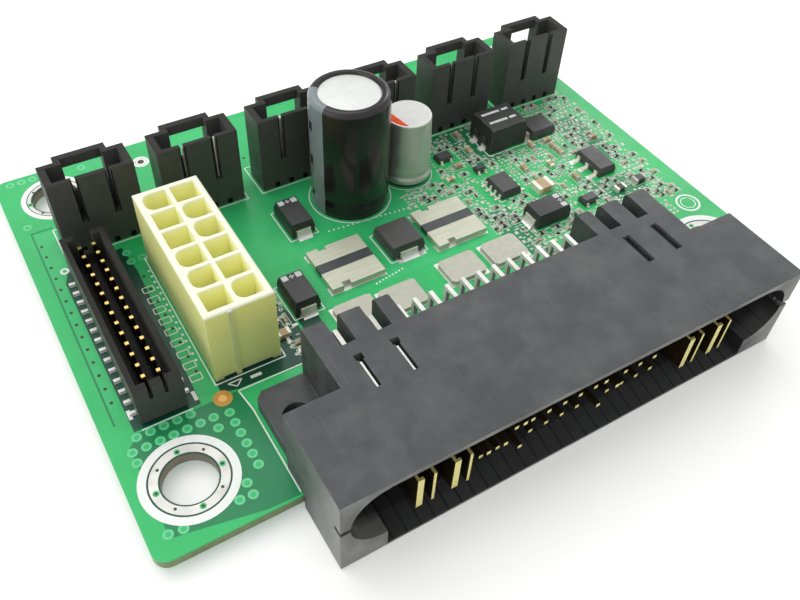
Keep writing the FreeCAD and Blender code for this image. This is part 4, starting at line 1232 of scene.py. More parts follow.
def ivory_material(look):
    """Slightly translucent ivory nylon, with a painted highlight along the rim and painted bounce light
    inside the cells.
    """
    material, tree, surface = new_material("Ivory nylon")
    tone = effect(tree, "tone_drift", Color=tuple(look.ivory), Scale=60.0, Spread=0.05)["Color"]
    rim = effect(tree, "tone_drift", Color=tuple(look.ivory_rim_highlight), Scale=300.0, Spread=0.03)["Color"]
    cell_bounce = effect(tree, "tone_drift", Color=tuple(look.ivory_cell_bounce), Scale=120.0, Spread=0.04)["Color"]
    place = place_split(tree)
    middle = on_board(sum(MAIN_U) / 2, sum(MAIN_V) / 2, MAIN_TOP)
    across = maths(tree, "ABSOLUTE", maths(tree, "SUBTRACT", place[0], middle.x))
    along = maths(tree, "ABSOLUTE", maths(tree, "SUBTRACT", place[1], middle.y))
    half_u = (MAIN_U[1] - MAIN_U[0]) / 2 * MM
    half_v = (MAIN_V[1] - MAIN_V[0]) / 2 * MM
    inside = maths(tree, "MULTIPLY", ramp(tree, across, half_u - 0.1 * MM, half_u - 0.2 * MM),
                   ramp(tree, along, half_v - 0.1 * MM, half_v - 0.2 * MM))
    # Painted highlight near the rim
    near_rim = ramp(tree, place[2], middle.z - 0.5 * MM, middle.z - 0.1 * MM)
    # Painted bounce light inside the cells
    base = blend(tree, inside, tone, cell_bounce)
    base = blend(tree, near_rim, base, rim)
    speck = ramp(tree, noise(tree, 1400.0, 3.0), 0.66, 0.78)
    tree.links.new(blend(tree, maths(tree, "MULTIPLY", speck, 0.3), base, (0.62, 0.58, 0.28, 1.0)),
                   surface["Base Color"])
    surface["Subsurface Weight"].default_value = 0.45
    surface["Subsurface Radius"].default_value = (0.0022, 0.0019, 0.0006)
    surface["Subsurface Scale"].default_value = 1.0
    tree.links.new(ramp(tree, noise(tree, 500.0, 3.0), 0.3, 0.7, 0.40, 0.55), surface["Roughness"])
    height = effect(tree, "moulded_grain", Scale=2600.0)["Height"]
    tree.links.new(bump(tree, height, 0.18, GRAIN_DEPTH), surface["Normal"])
    return material


def cell_outline(u, v, half, rounding, grow):
    """Outline of a cell, with its left corners rounded where rounding isn't 0."""
    reach = half + grow
    points = [(u + reach, v - reach), (u + reach, v + reach)]
    if rounding == 0:
        return points + [(u - reach, v + reach), (u - reach, v - reach)]
    corner = rounding + grow
    for centre_v, start in ((v + reach - corner, 90), (v - reach + corner, 180)):
        for step in range(9):
            turn = math.radians(start + 90 * step / 8)
            points.append((u - reach + corner + corner * math.cos(turn),
                           centre_v + corner * math.sin(turn)))
    return points


def main_header_mesh(rounding, bevel):
    """Main header's housing: bevelled rim, cells to their floors, rib, latch and feet."""
    mesh = bmesh.new()
    u0, u1 = MAIN_U
    v0, v1 = MAIN_V
    middle_u = (u0 + u1) / 2
    middle_v = (v0 + v1) / 2
    rim = add_loop(mesh, rectangle(u0 + bevel, u1 - bevel, v0 + bevel, v1 - bevel), MAIN_TOP)
    shoulder = add_loop(mesh, rectangle(u0, u1, v0, v1), MAIN_TOP - bevel)
    foot = add_loop(mesh, rectangle(u0, u1, v0, v1), MAIN_STANDOFF)
    bridge(mesh, shoulder, rim)
    bridge(mesh, foot, shoulder)
    mesh.faces.new(foot)
    loops = [rim]
    for column in range(MAIN_COLUMNS):
        for row in range(MAIN_ROWS):
            u = middle_u + (column - (MAIN_COLUMNS - 1) / 2) * MAIN_PITCH
            v = middle_v + (row - (MAIN_ROWS - 1) / 2) * MAIN_PITCH
            turn = rounding if (column, row) in MAIN_KEYED_CELLS else 0
            wide = add_loop(mesh, cell_outline(u, v, MAIN_CELL / 2, turn, bevel / 2), MAIN_TOP)
            wall = add_loop(mesh, cell_outline(u, v, MAIN_CELL / 2, turn, 0), MAIN_TOP - bevel)
            floor = add_loop(mesh, cell_outline(u, v, MAIN_CELL / 2, turn, 0), MAIN_FLOOR)
            bridge(mesh, wide, wall)
            bridge(mesh, wall, floor)
            mesh.faces.new(floor)
            loops.append(wide)
    edges = []
    for loop in loops:
        for i in range(len(loop)):
            edges.append(mesh.edges.get((loop[i], loop[(i + 1) % len(loop)])))
    bmesh.ops.triangle_fill(mesh, edges=edges, use_beauty=True, use_dissolve=False,
                            normal=(0.0, 0.0, 1.0))
    add_block(mesh, MAIN_RIB_U, v0 - 0.1, (0.7, 0.25), 0.0, MAIN_TOP - 0.1, 0.08)
    for u in (u0 + 0.6, u1 - 0.6):
        for v in (v0 + 0.6, v1 - 0.6):
            add_block(mesh, u, v, (1.2, 1.2), 0.0, MAIN_STANDOFF, 0.02)
    low, high = MAIN_LATCH_H
    latch = [(u1, low), (u1 + MAIN_LATCH_REACH, low), (u1, high)]
    front, back = [[mesh.verts.new(on_board(u, v, h)) for u, h in latch] for v in MAIN_LATCH_V]
    mesh.faces.new(front)
    mesh.faces.new(back)
    bridge(mesh, front, back)
    return mesh


class POWERBOARD_OT_small_headers(PowerBoardOperator, bpy.types.Operator):
    """Black box header and wire headers with their pins"""
    bl_idname = "power_board.small_headers"
    bl_label = "Small headers"

    def execute(self, context):
        look = settings().header
        tin = settings().board.tin
        black = black_header_material("Black header plastic", look, 0.00014, 0.10, 0.35)
        dress(black, *WIRE_HEADERS)
        dress(box_header_material(look), "box_header_housing")
        dress(box_pin_material(tin), "box_header_pins")
        pins = surface_material("Wire header pin", (0.90, 0.88, 0.78, 1.0), 0.4, bright=0.0)
        dress(pins, *WIRE_HEADER_PINS)
        make_piece("wire_header_backs", wire_header_backs(), black)
        make_piece("wire_header_blades", wire_header_blades(), pins)
        # Painted shade for the wire headers' notches and the sides of their slots
        dark = surface_material("Painted notch and slot shade", (0.004, 0.004, 0.004, 1.0), 0.8, bright=0.0, gloss=0.1)
        make_piece("wire_header_notch_shades", wire_header_notch_shades(), dark)
        make_piece("wire_header_slot_shades", wire_header_slot_shades(), dark)
        return {"FINISHED"}


def black_header_material(name, look, edge_width, scuffed, gloss):
    """Black header plastic, with painted shade darkening the faces that look up, which are also duller.
    """
    material = plastic_material(name, look.black, look.black_edge, edge_width, 0.48, scuffed, 4200.0,
                                gloss)
    tree = material.node_tree
    # Painted shade on the faces that look up
    upward = ramp(tree, facing_split(tree)[2], 0.2, 0.7, 0.0, 0.85)
    top = effect(tree, "tone_drift", Color=tuple(look.black_top_shade), Scale=300.0, Spread=0.2)["Color"]
    tint_where(tree, upward, top)
    dull_where(tree, upward, 0.3)
    return material


def box_header_material(look):
    """Plastic of the box header, with painted shade in the channels along its two rows of pins."""
    material = black_header_material("Box header plastic", look, 0.00010, 0.06, 0.25)
    tree = material.node_tree
    low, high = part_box("box_header_housing")
    place = place_split(tree)
    from_middle = maths(tree, "ABSOLUTE", maths(tree, "SUBTRACT", place[0], (low.x + high.x) / 2))
    from_row = maths(tree, "ABSOLUTE", maths(tree, "SUBTRACT", from_middle, BOX_PITCH / 2 * MM))
    sunk = maths(tree, "MULTIPLY", ramp(tree, place[2], high.z - 0.3 * MM, high.z - 0.6 * MM),
                 ramp(tree, facing_split(tree)[2], 0.2, 0.7))
    channel = maths(tree, "MULTIPLY", sunk, ramp(tree, from_row, 0.60 * MM, 0.45 * MM))
    shaded = effect(tree, "tone_drift", Color=tuple(look.black_channel_shade), Scale=300.0, Spread=0.2)["Color"]
    tint_where(tree, channel, shaded)
    return material


def box_pin_material(tin):
    """Pins with bright gold tips, shafts darkened by painted shade, and tinned feet."""
    material, tree, surface = new_material("Box header pin plating")
    gold = effect(tree, "tone_drift", Color=(0.50, 0.36, 0.12, 1.0), Scale=250.0, Spread=0.08)["Color"]
    shaft_shade = effect(tree, "tone_drift", Color=(0.10, 0.065, 0.022, 1.0), Scale=400.0, Spread=0.2)["Color"]
    foot = effect(tree, "tone_drift", Color=tuple(tin), Scale=400.0, Spread=0.06)["Color"]
    height = place_split(tree)[2]
    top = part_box("box_header_pins")[1].z
    low = on_board(0.0, 0.0, 1.0).z
    # Painted shade: below their tips the pins turn dark, down inside the header
    base = blend(tree, ramp(tree, height, top - 0.5 * MM, top - 0.1 * MM), shaft_shade, gold)
    at_foot = ramp(tree, height, low, low - 0.2 * MM)
    tree.links.new(blend(tree, at_foot, base, foot), surface["Base Color"])
    tree.links.new(ramp(tree, at_foot, 0.0, 1.0, 1.0, 0.3), surface["Metallic"])
    tree.links.new(ramp(tree, noise(tree, 1500.0, 2.0), 0.3, 0.7, 0.22, 0.36), surface["Roughness"])
    return material


def wire_pin_places(u0, u1):
    """Places of the pins along a wire header."""
    return [(u0 + u1) / 2 + (index - (WIRE_PINS - 1) / 2) * WIRE_PITCH for index in range(WIRE_PINS)]


def wire_header_backs():
    """Web that closes the lower part of each wire header's back window."""
    mesh = bmesh.new()
    for name in WIRE_HEADERS:
        u0, u1, v0, v1 = board_rectangle(name)
        add_block(mesh, (u0 + u1) / 2 + WIRE_WEB_SHIFT, v1 - WIRE_WEB_SIZE[1], WIRE_WEB_SIZE,
                  *WIRE_WEB_H, 0.05)
    return mesh


def wire_header_blades():
    """Flat blades round the wire headers' pins, seen through the slots."""
    mesh = bmesh.new()
    for name in WIRE_HEADER_PINS:
        u0, u1, v0, v1 = board_rectangle(name)
        for u in wire_pin_places(u0, u1):
            add_block(mesh, u, (v0 + v1) / 2, WIRE_BLADE_SIZE, *WIRE_BLADE_H, 0.12)
    return mesh


def wire_header_slot_shades():
    """Strips of painted shade that widen the slots in each wire header's front wall."""
    mesh = bmesh.new()
    for name in WIRE_HEADERS:
        u0, u1, v0, v1 = board_rectangle(name)
        for place in WIRE_SLOTS:
            for side in (-1, 1):
                add_block(mesh, u0 + place + side * WIRE_SLOT_REACH, v0 - 0.005, WIRE_SLOT_SIDE,
                          *WIRE_SLOT_H, 0.01)
    return mesh


def wire_header_notch_shades():
    """Plates of painted shade for the notches along the foot of each wire header's front wall."""
    mesh = bmesh.new()
    for name in WIRE_HEADERS:
        u0, u1, v0, v1 = board_rectangle(name)
        for u in wire_pin_places(u0, u1):
            add_block(mesh, u, v0 - 0.01, WIRE_NOTCH_SIZE, 0.0, WIRE_NOTCH_TOP, 0.01)
    return mesh


class POWERBOARD_OT_capacitors(PowerBoardOperator, bpy.types.Operator):
    """Sleeved capacitor with its bare top, and the small bare can with its painted top"""
    bl_idname = "power_board.capacitors"
    bl_label = "Capacitors"

    def execute(self, context):
        look = settings().capacitor
        make_piece("large_capacitor_film", large_sleeve(), film_material(look),
                   ["large_capacitor_sleeve"], smooth_angle=40)
        make_piece("large_capacitor_top", large_can_top(), can_top_material(),
                   ["large_capacitor_can"], smooth_angle=40)
        can = surface_material("Bare can", look.can, 0.46, spread=0.05, scale=300.0, bright=0.85)
        make_piece("small_capacitor_shell", small_can(), can, ["small_capacitor_can"],
                   smooth_angle=50)
        base = surface_material("Black base", (0.01, 0.01, 0.01, 1.0), 0.7, bright=0.0)
        make_piece("small_capacitor_base", small_can_base(), base, smooth_angle=40)
        self.painted_top(look, SMALL_CAP[:2], SMALL_CAP_TOP_RADIUS - 0.2, SMALL_CAP[3])
        dress(surface_material("Capacitor lead", settings().board.tin, 0.3),
              "large_capacitor_leads", "small_capacitor_leads")
        return {"FINISHED"}

    def painted_top(self, look, centre, radius, top):
        """Painted disc, and the segment that marks one side of it."""
        mesh = bmesh.new()
        add_turned(mesh, centre, [(radius, top - 0.02), (radius - 0.1, top), (0.0, top)], 64)
        make_piece("small_capacitor_lid", mesh,
                   surface_material("Lid paint", look.lid, 0.5, spread=0.05, scale=900.0, bright=0.0,
                                    gloss=0.3))
        mesh = bmesh.new()
        edge = []
        for step in range(21):
            turn = math.radians(139 + 101 * step / 20)
            edge.append((centre[0] + (radius - 0.05) * math.cos(turn),
                         centre[1] + (radius - 0.05) * math.sin(turn)))
        add_plate(mesh, edge, top + 0.012, top - 0.03)
        make_piece("small_capacitor_segment", mesh,
                   surface_material("Segment paint", look.segment, 0.55, scale=900.0, bright=0.0,
                                    gloss=0.15))


def large_sleeve():
    """Sleeve of the large capacitor, drawn in above its foot and folded over its top edge."""
    mesh = bmesh.new()
    u, v, radius, top = LARGE_CAP
    profile = [(radius - 0.25, 0.0), (radius - 0.05, 0.12), (radius, 0.4), (radius, 2.6),
               (radius - 0.13, 2.95), (radius - 0.13, 3.35), (radius, 3.7)]
    profile += arc_profile(radius - 1.0, top - 1.0, 1.0, 0, 80, 8)
    profile += [(radius - 1.35, top - 0.06), (radius - 1.52, top - 0.28), (radius - 1.55, top - 0.5)]
    add_turned(mesh, (u, v), profile, 96)
    return mesh


def large_can_top():
    """Bare top of the large capacitor's can, inside the sleeve's lip."""
    mesh = bmesh.new()
    u, v, radius, top = LARGE_CAP
    add_turned(mesh, (u, v), [(radius - 1.50, top - 0.42), (radius - 1.7, top - 0.36),
                              (0.0, top - 0.34)], 96)
    return mesh


def small_can():
    """Bare can that narrows upwards from a wide rolled foot."""
    mesh = bmesh.new()
    u, v, radius, top = SMALL_CAP
    narrow = SMALL_CAP_TOP_RADIUS
    profile = [(radius - 0.45, 0.75), (radius - 0.12, 0.72), (radius, 0.95), (radius, 1.45),
               (radius - 0.1, 1.7), (radius - 0.30, 2.0), (radius - 0.32, 2.2),
               (radius - 0.18, 2.6), (radius - 0.2, 3.0), (narrow, top - 0.3)]
    profile += arc_profile(narrow - 0.25, top - 0.25, 0.25, 10, 90, 5)
    add_turned(mesh, (u, v), profile, 80)
    return mesh


def small_can_base():
    """Dark base on which the small can stands."""
    mesh = bmesh.new()
    u, v, radius = SMALL_CAP[:3]
    add_turned(mesh, (u, v), [(radius - 0.55, 0.0), (radius - 0.5, 0.8)], 64)
    return mesh


def film_material(look):
    """Glossy black film with a pale polarity stripe that carries plain minus signs."""
    material, tree, surface = new_material("Sleeve film")
    place = place_split(tree)
    centre = on_board(LARGE_CAP[0], LARGE_CAP[1])
    turn = maths(tree, "ARCTAN2", maths(tree, "SUBTRACT", place[1], centre.y),
                 maths(tree, "SUBTRACT", place[0], centre.x))
    turn = maths(tree, "MODULO", maths(tree, "ADD", turn, 2 * math.pi), 2 * math.pi)
    away = maths(tree, "ABSOLUTE", maths(tree, "SUBTRACT", turn, math.radians(172)))
    stripe = ramp(tree, away, math.radians(30.5), math.radians(29.5))
    height = maths(tree, "SUBTRACT", place[2], centre.z)
    step = maths(tree, "FRACT", maths(tree, "DIVIDE", height, 6.2 * MM))
    dash = maths(tree, "MULTIPLY", ramp(tree, step, 0.36, 0.37), ramp(tree, step, 0.65, 0.64))
    dash = maths(tree, "MULTIPLY", dash, ramp(tree, away, math.radians(5.5), math.radians(4.5)))
    film = effect(tree, "tone_drift", Color=tuple(look.film), Scale=200.0, Spread=0.2)["Color"]
    pale = effect(tree, "tone_drift", Color=tuple(look.stripe), Scale=300.0, Spread=0.08)["Color"]
    surface["Specular IOR Level"].default_value = 0.4
    base = blend(tree, stripe, film, blend(tree, dash, pale, film))
    tree.links.new(base, surface["Base Color"])
    tree.links.new(ramp(tree, noise(tree, 240.0, 3.0), 0.3, 0.7, 0.14, 0.26), surface["Roughness"])
    tree.links.new(bump(tree, noise(tree, 150.0, 2.0), 0.2, 0.0002), surface["Normal"])
    return material


def can_top_material():
    """Drawn aluminium top with a faint scored cross."""
    material, tree, surface = new_material("Can top")
    place = place_split(tree)
    centre = on_board(LARGE_CAP[0], LARGE_CAP[1])
    dx = maths(tree, "ABSOLUTE", maths(tree, "SUBTRACT", place[0], centre.x))
    dy = maths(tree, "ABSOLUTE", maths(tree, "SUBTRACT", place[1], centre.y))
    line = maths(tree, "MAXIMUM", ramp(tree, dx, 0.00016, 0.00008), ramp(tree, dy, 0.00016, 0.00008))
    near = ramp(tree, maths(tree, "ADD", dx, dy), 0.0036, 0.0033)
    score = maths(tree, "MULTIPLY", line, near)
    tone = effect(tree, "tone_drift", Color=(0.71, 0.73, 0.70, 1.0), Scale=400.0, Spread=0.04)["Color"]
    tree.links.new(blend(tree, maths(tree, "MULTIPLY", score, 0.18), tone, (0.5, 0.5, 0.5, 1.0)),
                   surface["Base Color"])
    surface["Metallic"].default_value = 0.3
    tree.links.new(ramp(tree, noise(tree, 1800.0, 3.0), 0.3, 0.7, 0.42, 0.56), surface["Roughness"])
    tree.links.new(bump(tree, score, 0.2, 0.0001), surface["Normal"])
    return material


class POWERBOARD_OT_packages(PowerBoardOperator, bpy.types.Operator):
    """Shunts, power switches, tantalum parts, diodes, relay, driver and transistor"""
    bl_idname = "power_board.packages"
    bl_label = "Packages"

    def execute(self, context):
        look = settings().package
        tin = settings().board.tin
        dress(mould_material("Moulding compound", look.mould), "diode_body", "flat_diode_body",
              "driver_body", "transistor_body", "small_package_bodies")
        dress(mould_material("Tantalum mould", look.tantalum), *TANTALUM_BODIES)
        # The relay's pale edge tone is partly edge wear and partly a painted highlight
        dress(plastic_material("Relay plastic", look.relay, (0.26, 0.26, 0.25, 1.0), 0.00018,
                               0.48, 0.06, 4200.0), "relay_body")
        plated = surface_material("Tinned lead", (0.80, 0.78, 0.65, 1.0), 0.42, bright=0.35)
        dress(relay_lead_material(tin), "relay_leads")
        dress(plated, "diode_tabs", "flat_diode_tabs", "driver_leads", "transistor_leads",
              "small_package_leads", "chip_ends", *TANTALUM_TABS)
        dress(plate_material(), "shunt_plates_1", "shunt_plates_2")
        dress(surface_material("Resistive alloy", look.alloy, 0.42, bright=0.6),
              "shunt_strip_1", "shunt_strip_2")
        dress(surface_material("Switch can", (0.50, 0.50, 0.42, 1.0), 0.55, spread=0.06,
                               scale=900.0, bright=0.35), *POWER_SWITCHES)
        dress(ceramic_material(look), "chip_bodies")
        make_piece("package_marks", package_marks(), mark_material(look))
        return {"FINISHED"}


def mould_material(name, tint):
    """Moulding compound of a package, with faintly lighter edges, partly rubbed wear and partly painted
    highlight.
    """
    return plastic_material(name, tint, (0.07, 0.07, 0.072, 1.0), 0.0001, 0.45, 0.12, 5000.0)


def ceramic_material(look):
    """Brown ceramic of the larger chip parts, with black glaze on the one by the connector."""
    material = surface_material("Brown ceramic", look.ceramic, 0.45, bright=0.0)
    tree = material.node_tree
    glaze = effect(tree, "tone_drift", Color=(0.02, 0.02, 0.022, 1.0), Scale=500.0, Spread=0.2)["Color"]
    start, end = [on_board(u, 0.0).x for u in GLAZE_U]
    tint_where(tree, ramp(tree, place_split(tree)[0], start, end), glaze)
    return material


def relay_lead_material(tin):
    """Dull leads with tinned feet."""
    material, tree, surface = new_material("Relay lead")
    dull = effect(tree, "tone_drift", Color=(0.045, 0.045, 0.042, 1.0), Scale=500.0, Spread=0.2)["Color"]
    foot = effect(tree, "tone_drift", Color=tuple(tin), Scale=500.0, Spread=0.08)["Color"]
    at_foot = ramp(tree, place_split(tree)[2], on_board(0.0, 0.0, 1.2).z, on_board(0.0, 0.0, 0.6).z)
    tree.links.new(blend(tree, at_foot, dull, foot), surface["Base Color"])
    tree.links.new(ramp(tree, noise(tree, 900.0, 2.0), 0.3, 0.7, 0.42, 0.60), surface["Roughness"])
    return material


def plate_material():
    """Tinned plate with fine rolled lines."""
    material, tree, surface = new_material("Tinned plate")
    stretched = tree.nodes.new("ShaderNodeMapping")
    stretched.inputs["Scale"].default_value = (0.15, 2.0, 1.0)
    tree.links.new(tree.nodes.new("ShaderNodeTexCoord").outputs["Object"], stretched.inputs["Vector"])
    lines = noise(tree, 1500.0, 3.0, stretched.outputs[0])
    tone = effect(tree, "tone_drift", Color=(0.62, 0.63, 0.50, 1.0), Scale=250.0, Spread=0.06)["Color"]
    tree.links.new(blend(tree, ramp(tree, lines, 0.4, 0.7), tone, (0.55, 0.56, 0.45, 1.0)),
                   surface["Base Color"])
    surface["Metallic"].default_value = 0.35
    tree.links.new(ramp(tree, lines, 0.3, 0.7, 0.45, 0.58), surface["Roughness"])
    return material


def mark_material(look):
    """Laser-printed mark, greyish white."""
    material, tree, surface = new_material("Package mark")
    tone = effect(tree, "tone_drift", Color=tuple(look.mark), Scale=1500.0, Spread=0.2)["Color"]
    tree.links.new(tone, surface["Base Color"])
    tree.links.new(ramp(tree, noise(tree, 2000.0), 0.3, 0.7, 0.45, 0.6), surface["Roughness"])
    return material


def package_marks():
    """Polarity blocks, plus signs and plain bars on top of the packages."""
    mesh = bmesh.new()
    for name, along_u in zip(TANTALUM_BODIES, (False, False, True)):
        u0, u1, v0, v1 = board_rectangle(name, -0.35)
        if along_u:
            blocks = [(u1 - 1.1, u1 - 0.1, v0 + 0.1, v0 + 1.0), (u1 - 1.1, u1 - 0.1, v1 - 1.0, v1 - 0.1)]
            plus = (u1 - 0.6, (v0 + v1) / 2)
        else:
            blocks = [(u0 + 0.1, u0 + 1.0, v1 - 1.1, v1 - 0.1), (u1 - 1.0, u1 - 0.1, v1 - 1.1, v1 - 0.1)]
            plus = ((u0 + u1) / 2, v1 - 0.6)
        blocks += [(plus[0] - 0.4, plus[0] + 0.4, plus[1] - 0.1, plus[1] + 0.1),
                   (plus[0] - 0.1, plus[0] + 0.1, plus[1] - 0.4, plus[1] + 0.4)]
        for block in blocks:
            add_plate(mesh, rectangle(*block), TANTALUM_TOP + MARK_RISE, TANTALUM_TOP - MARK_SINK)
    u0, u1, v0, v1 = board_rectangle("relay_body")
    for part in (0.37, 0.76):
        v = v0 + (v1 - v0) * part
        for start, end in ((0.13, 0.62), (0.68, 0.86)):
            add_plate(mesh, rectangle(u0 + (u1 - u0) * start, u0 + (u1 - u0) * end, v - 0.28, v + 0.28),
                      RELAY_TOP + MARK_RISE, RELAY_TOP - MARK_SINK)
    return mesh


class POWERBOARD_OT_chip_parts(PowerBoardOperator, bpy.types.Operator):
    """Scatter of the smallest chip parts with their pads, vias and printed frames"""
    bl_idname = "power_board.chip_parts"
    bl_label = "Chip parts"

    def execute(self, context):
        look = settings().package
        pick = random.Random(look.seed)
        taken = occupied_places()
        meshes = {name: bmesh.new() for name in ("dark", "tan", "ends", "pads", "ink", "vias")}
        for u, v in TAN_CHIPS:
            add_chip(meshes, "tan", u, v, (1.6, 0.85), 0.75, pick.random() < 0.5)
            taken.append((u - 1.2, u + 1.2, v - 1.0, v + 1.0))
        add_chip(meshes, "dark", 95.6, 25.6, (2.4, 1.5), 0.9, False)
        taken.append((94.0, 97.2, 24.4, 26.8))
        for zone in CHIP_ZONES:
            scatter(meshes, pick, taken, zone)
            fill_gaps(meshes, pick, taken, zone)
        plated = surface_material("Chip end", (0.54, 0.56, 0.48, 1.0), 0.5, spread=0.2, bright=0.3)
        fine_ink = surface_material("Fine ink", (0.56, 0.68, 0.56, 1.0), 0.6, spread=0.2, scale=1500.0,
                                    bright=0.0)
        make_piece("chip_resistors", meshes["dark"],
                   surface_material("Resistor glaze", (0.02, 0.02, 0.022, 1.0), 0.35, bright=0.0))
        make_piece("chip_capacitors", meshes["tan"],
                   surface_material("Tan ceramic", (0.46, 0.33, 0.16, 1.0), 0.45, bright=0.0))
        make_piece("chip_caps", meshes["ends"], plated)
        make_piece("chip_pads", meshes["pads"], plated)
        make_piece("chip_ink", meshes["ink"], fine_ink)
        # Vias as dark discs of painted shade
        make_piece("chip_vias", meshes["vias"], bpy.data.materials["Painted hole shade"])
        return {"FINISHED"}


# Small ceramic capacitors, and zones for the rest as u0, u1, v0, v1, step along and step behind
TAN_CHIPS = [(74.7, 50.6), (74.1, 46.0), (70.0, 43.4), (84.9, 42.1), (88.2, 41.9), (88.2, 40.0),
             (88.3, 38.2), (96.3, 38.8), (79.9, 37.4), (86.4, 31.3)]
CHIP_ZONES = [(66.6, 100.4, 16.4, 52.6, 1.5, 1.08), (57.6, 66.4, 38.2, 42.4, 1.5, 1.08),
              (26.6, 30.0, 20.0, 34.5, 2.0, 1.6)]


# Small packages, chip parts and marks whose places stay free, as u, v and half sizes
SMALL_PLACES = [(79.45, 31.85, 1.9, 1.6), (91.1, 25.3, 1.5, 1.0), (66.9, 41.0, 1.2, 0.8),
                (84.6, 36.2, 0.8, 1.2), (68.9, 46.4, 1.8, 1.9), (84.4, 25.6, 1.9, 1.8),
                (72.8, 40.8, 1.4, 1.5), (27.2, 27.0, 1.0, 1.4), (27.4, 23.9, 1.4, 1.0),
                CORNER_MARK + (2.4, 2.4), (95.5, 8.3, 6.8, 6.8)]


def occupied_places():
    """Rectangles that the larger parts cover, with room round them."""
    names = ["relay_body", "relay_leads", "flat_diode_body", "driver_leads", "driver_body",
             "transistor_leads", "transistor_body", "tantalum_body_2", "tantalum_body_3",
             "power_switch_4", "power_switch_3", "shunt_plates_2", "small_capacitor_can",
             "power_contacts", "signal_pins", "main_header_housing", "power_connector_housing"]
    taken = [board_rectangle(name, 0.45) for name in names]
    for u, v, half_u, half_v in SMALL_PLACES:
        taken.append((u - half_u, u + half_u, v - half_v, v + half_v))
    return taken


def add_chip(meshes, kind, u, v, size, height, across):
    """Chip part with its tinned caps, pads and printed frame."""
    long_side, wide = size
    cap = long_side * 0.2
    add_block(meshes[kind], u, v, (long_side - 2 * cap, wide), PAD_TOP, height, 0.06, across)
    for side in (-1, 1):
        shift = side * (long_side - cap) / 2
        a, b = (u, v + shift) if across else (u + shift, v)
        add_block(meshes["ends"], a, b, (cap, wide + 0.04), PAD_TOP, height + 0.02, 0.06, across)
        reach = 0.35 * side
        c, d = (a, b + reach) if across else (a + reach, b)
        half = (wide / 2, 0.3) if across else (0.3, wide / 2)
        add_plate(meshes["pads"], rectangle(c - half[0], c + half[0], d - half[1], d + half[1]),
                  PAD_TOP)
    half = (wide / 2 + 0.3, long_side / 2 + 0.55) if across else (long_side / 2 + 0.55, wide / 2 + 0.3)
    add_outline(meshes["ink"], rectangle(u - half[0], u + half[0], v - half[1], v + half[1]), 0.13)


def is_free(box, taken):
    """Whether a rectangle meets none of the taken ones."""
    return all(box[1] < t[0] or box[0] > t[1] or box[3] < t[2] or box[2] > t[3] for t in taken)


def add_via(meshes, place):
    """Small via with its tinned ring."""
    add_ring(meshes["pads"], place, 0.17, 0.33, PAD_TOP, 12)
    add_plate(meshes["vias"], circle(place, 0.17, 10), PAD_TOP)


def fill_gaps(meshes, pick, taken, zone):
    """Fine pads, vias and printed dashes in the gaps that the chip parts leave."""
    u0, u1, v0, v1 = zone[:4]
    for row in range(int((v1 - v0) / GAP_STEP_V)):
        for column in range(int((u1 - u0) / GAP_STEP_U)):
            u = u0 + column * GAP_STEP_U + pick.uniform(-0.1, 0.1)
            v = v0 + row * GAP_STEP_V + pick.uniform(-0.08, 0.08)
            kind = pick.random()
            if kind > 0.92 or not is_free((u - 0.28, u + 0.28, v - 0.26, v + 0.26), taken):
                continue
            if kind < 0.42:
                add_plate(meshes["pads"], rectangle(u - 0.24, u + 0.24, v - 0.22, v + 0.22), PAD_TOP)
            elif kind < 0.74:
                add_stroke(meshes["ink"], (u - 0.3, v), (u + 0.3, v), 0.2)
            else:
                add_via(meshes, (u, v))


def scatter(meshes, pick, taken, zone):
    """Fills the free places of a zone."""
    u0, u1, v0, v1, step_u, step_v = zone
    v = v0
    while v < v1:
        u = u0
        while u < u1:
            place_u = u + pick.uniform(-0.2, 0.2)
            place_v = v + pick.uniform(-0.12, 0.12)
            across = pick.random() < 0.35
            half = (0.42, 0.78) if across else (0.78, 0.42)
            box = (place_u - half[0], place_u + half[0], place_v - half[1], place_v + half[1])
            free = is_free(box, taken)
            kind = pick.random()
            if free and kind < 0.50:
                add_chip(meshes, "dark" if kind < 0.38 else "tan", place_u, place_v, (0.95, 0.5), 0.36,
                         across)
                taken.append(box)
            elif free and kind < 0.80:
                for side in (-1, 1):
                    add_plate(meshes["pads"], rectangle(place_u + side * 0.55 - 0.3,
                                                        place_u + side * 0.55 + 0.3,
                                                        place_v - 0.32, place_v + 0.32), PAD_TOP)
                taken.append(box)
            elif free and kind < 0.94:
                for index in range(pick.randint(1, 3)):
                    add_via(meshes, (place_u + pick.uniform(-0.8, 0.8),
                                     place_v + pick.uniform(-0.5, 0.5)))
            if free:
                bar = pick.uniform(0.4, 1.0)
                add_stroke(meshes["ink"], (place_u - bar / 2, place_v + 0.72),
                           (place_u + bar / 2, place_v + 0.72), 0.26)
            u += step_u
        v += step_v


def seen_rays(tree):
    """Mask of the rays that show a surface to the camera, straight, in a gloss or through glass."""
    path = tree.nodes.new("ShaderNodeLightPath").outputs
    seen = maths(tree, "MAXIMUM", path["Is Camera Ray"], path["Is Glossy Ray"])
    return maths(tree, "MAXIMUM", seen, path["Is Transmission Ray"])


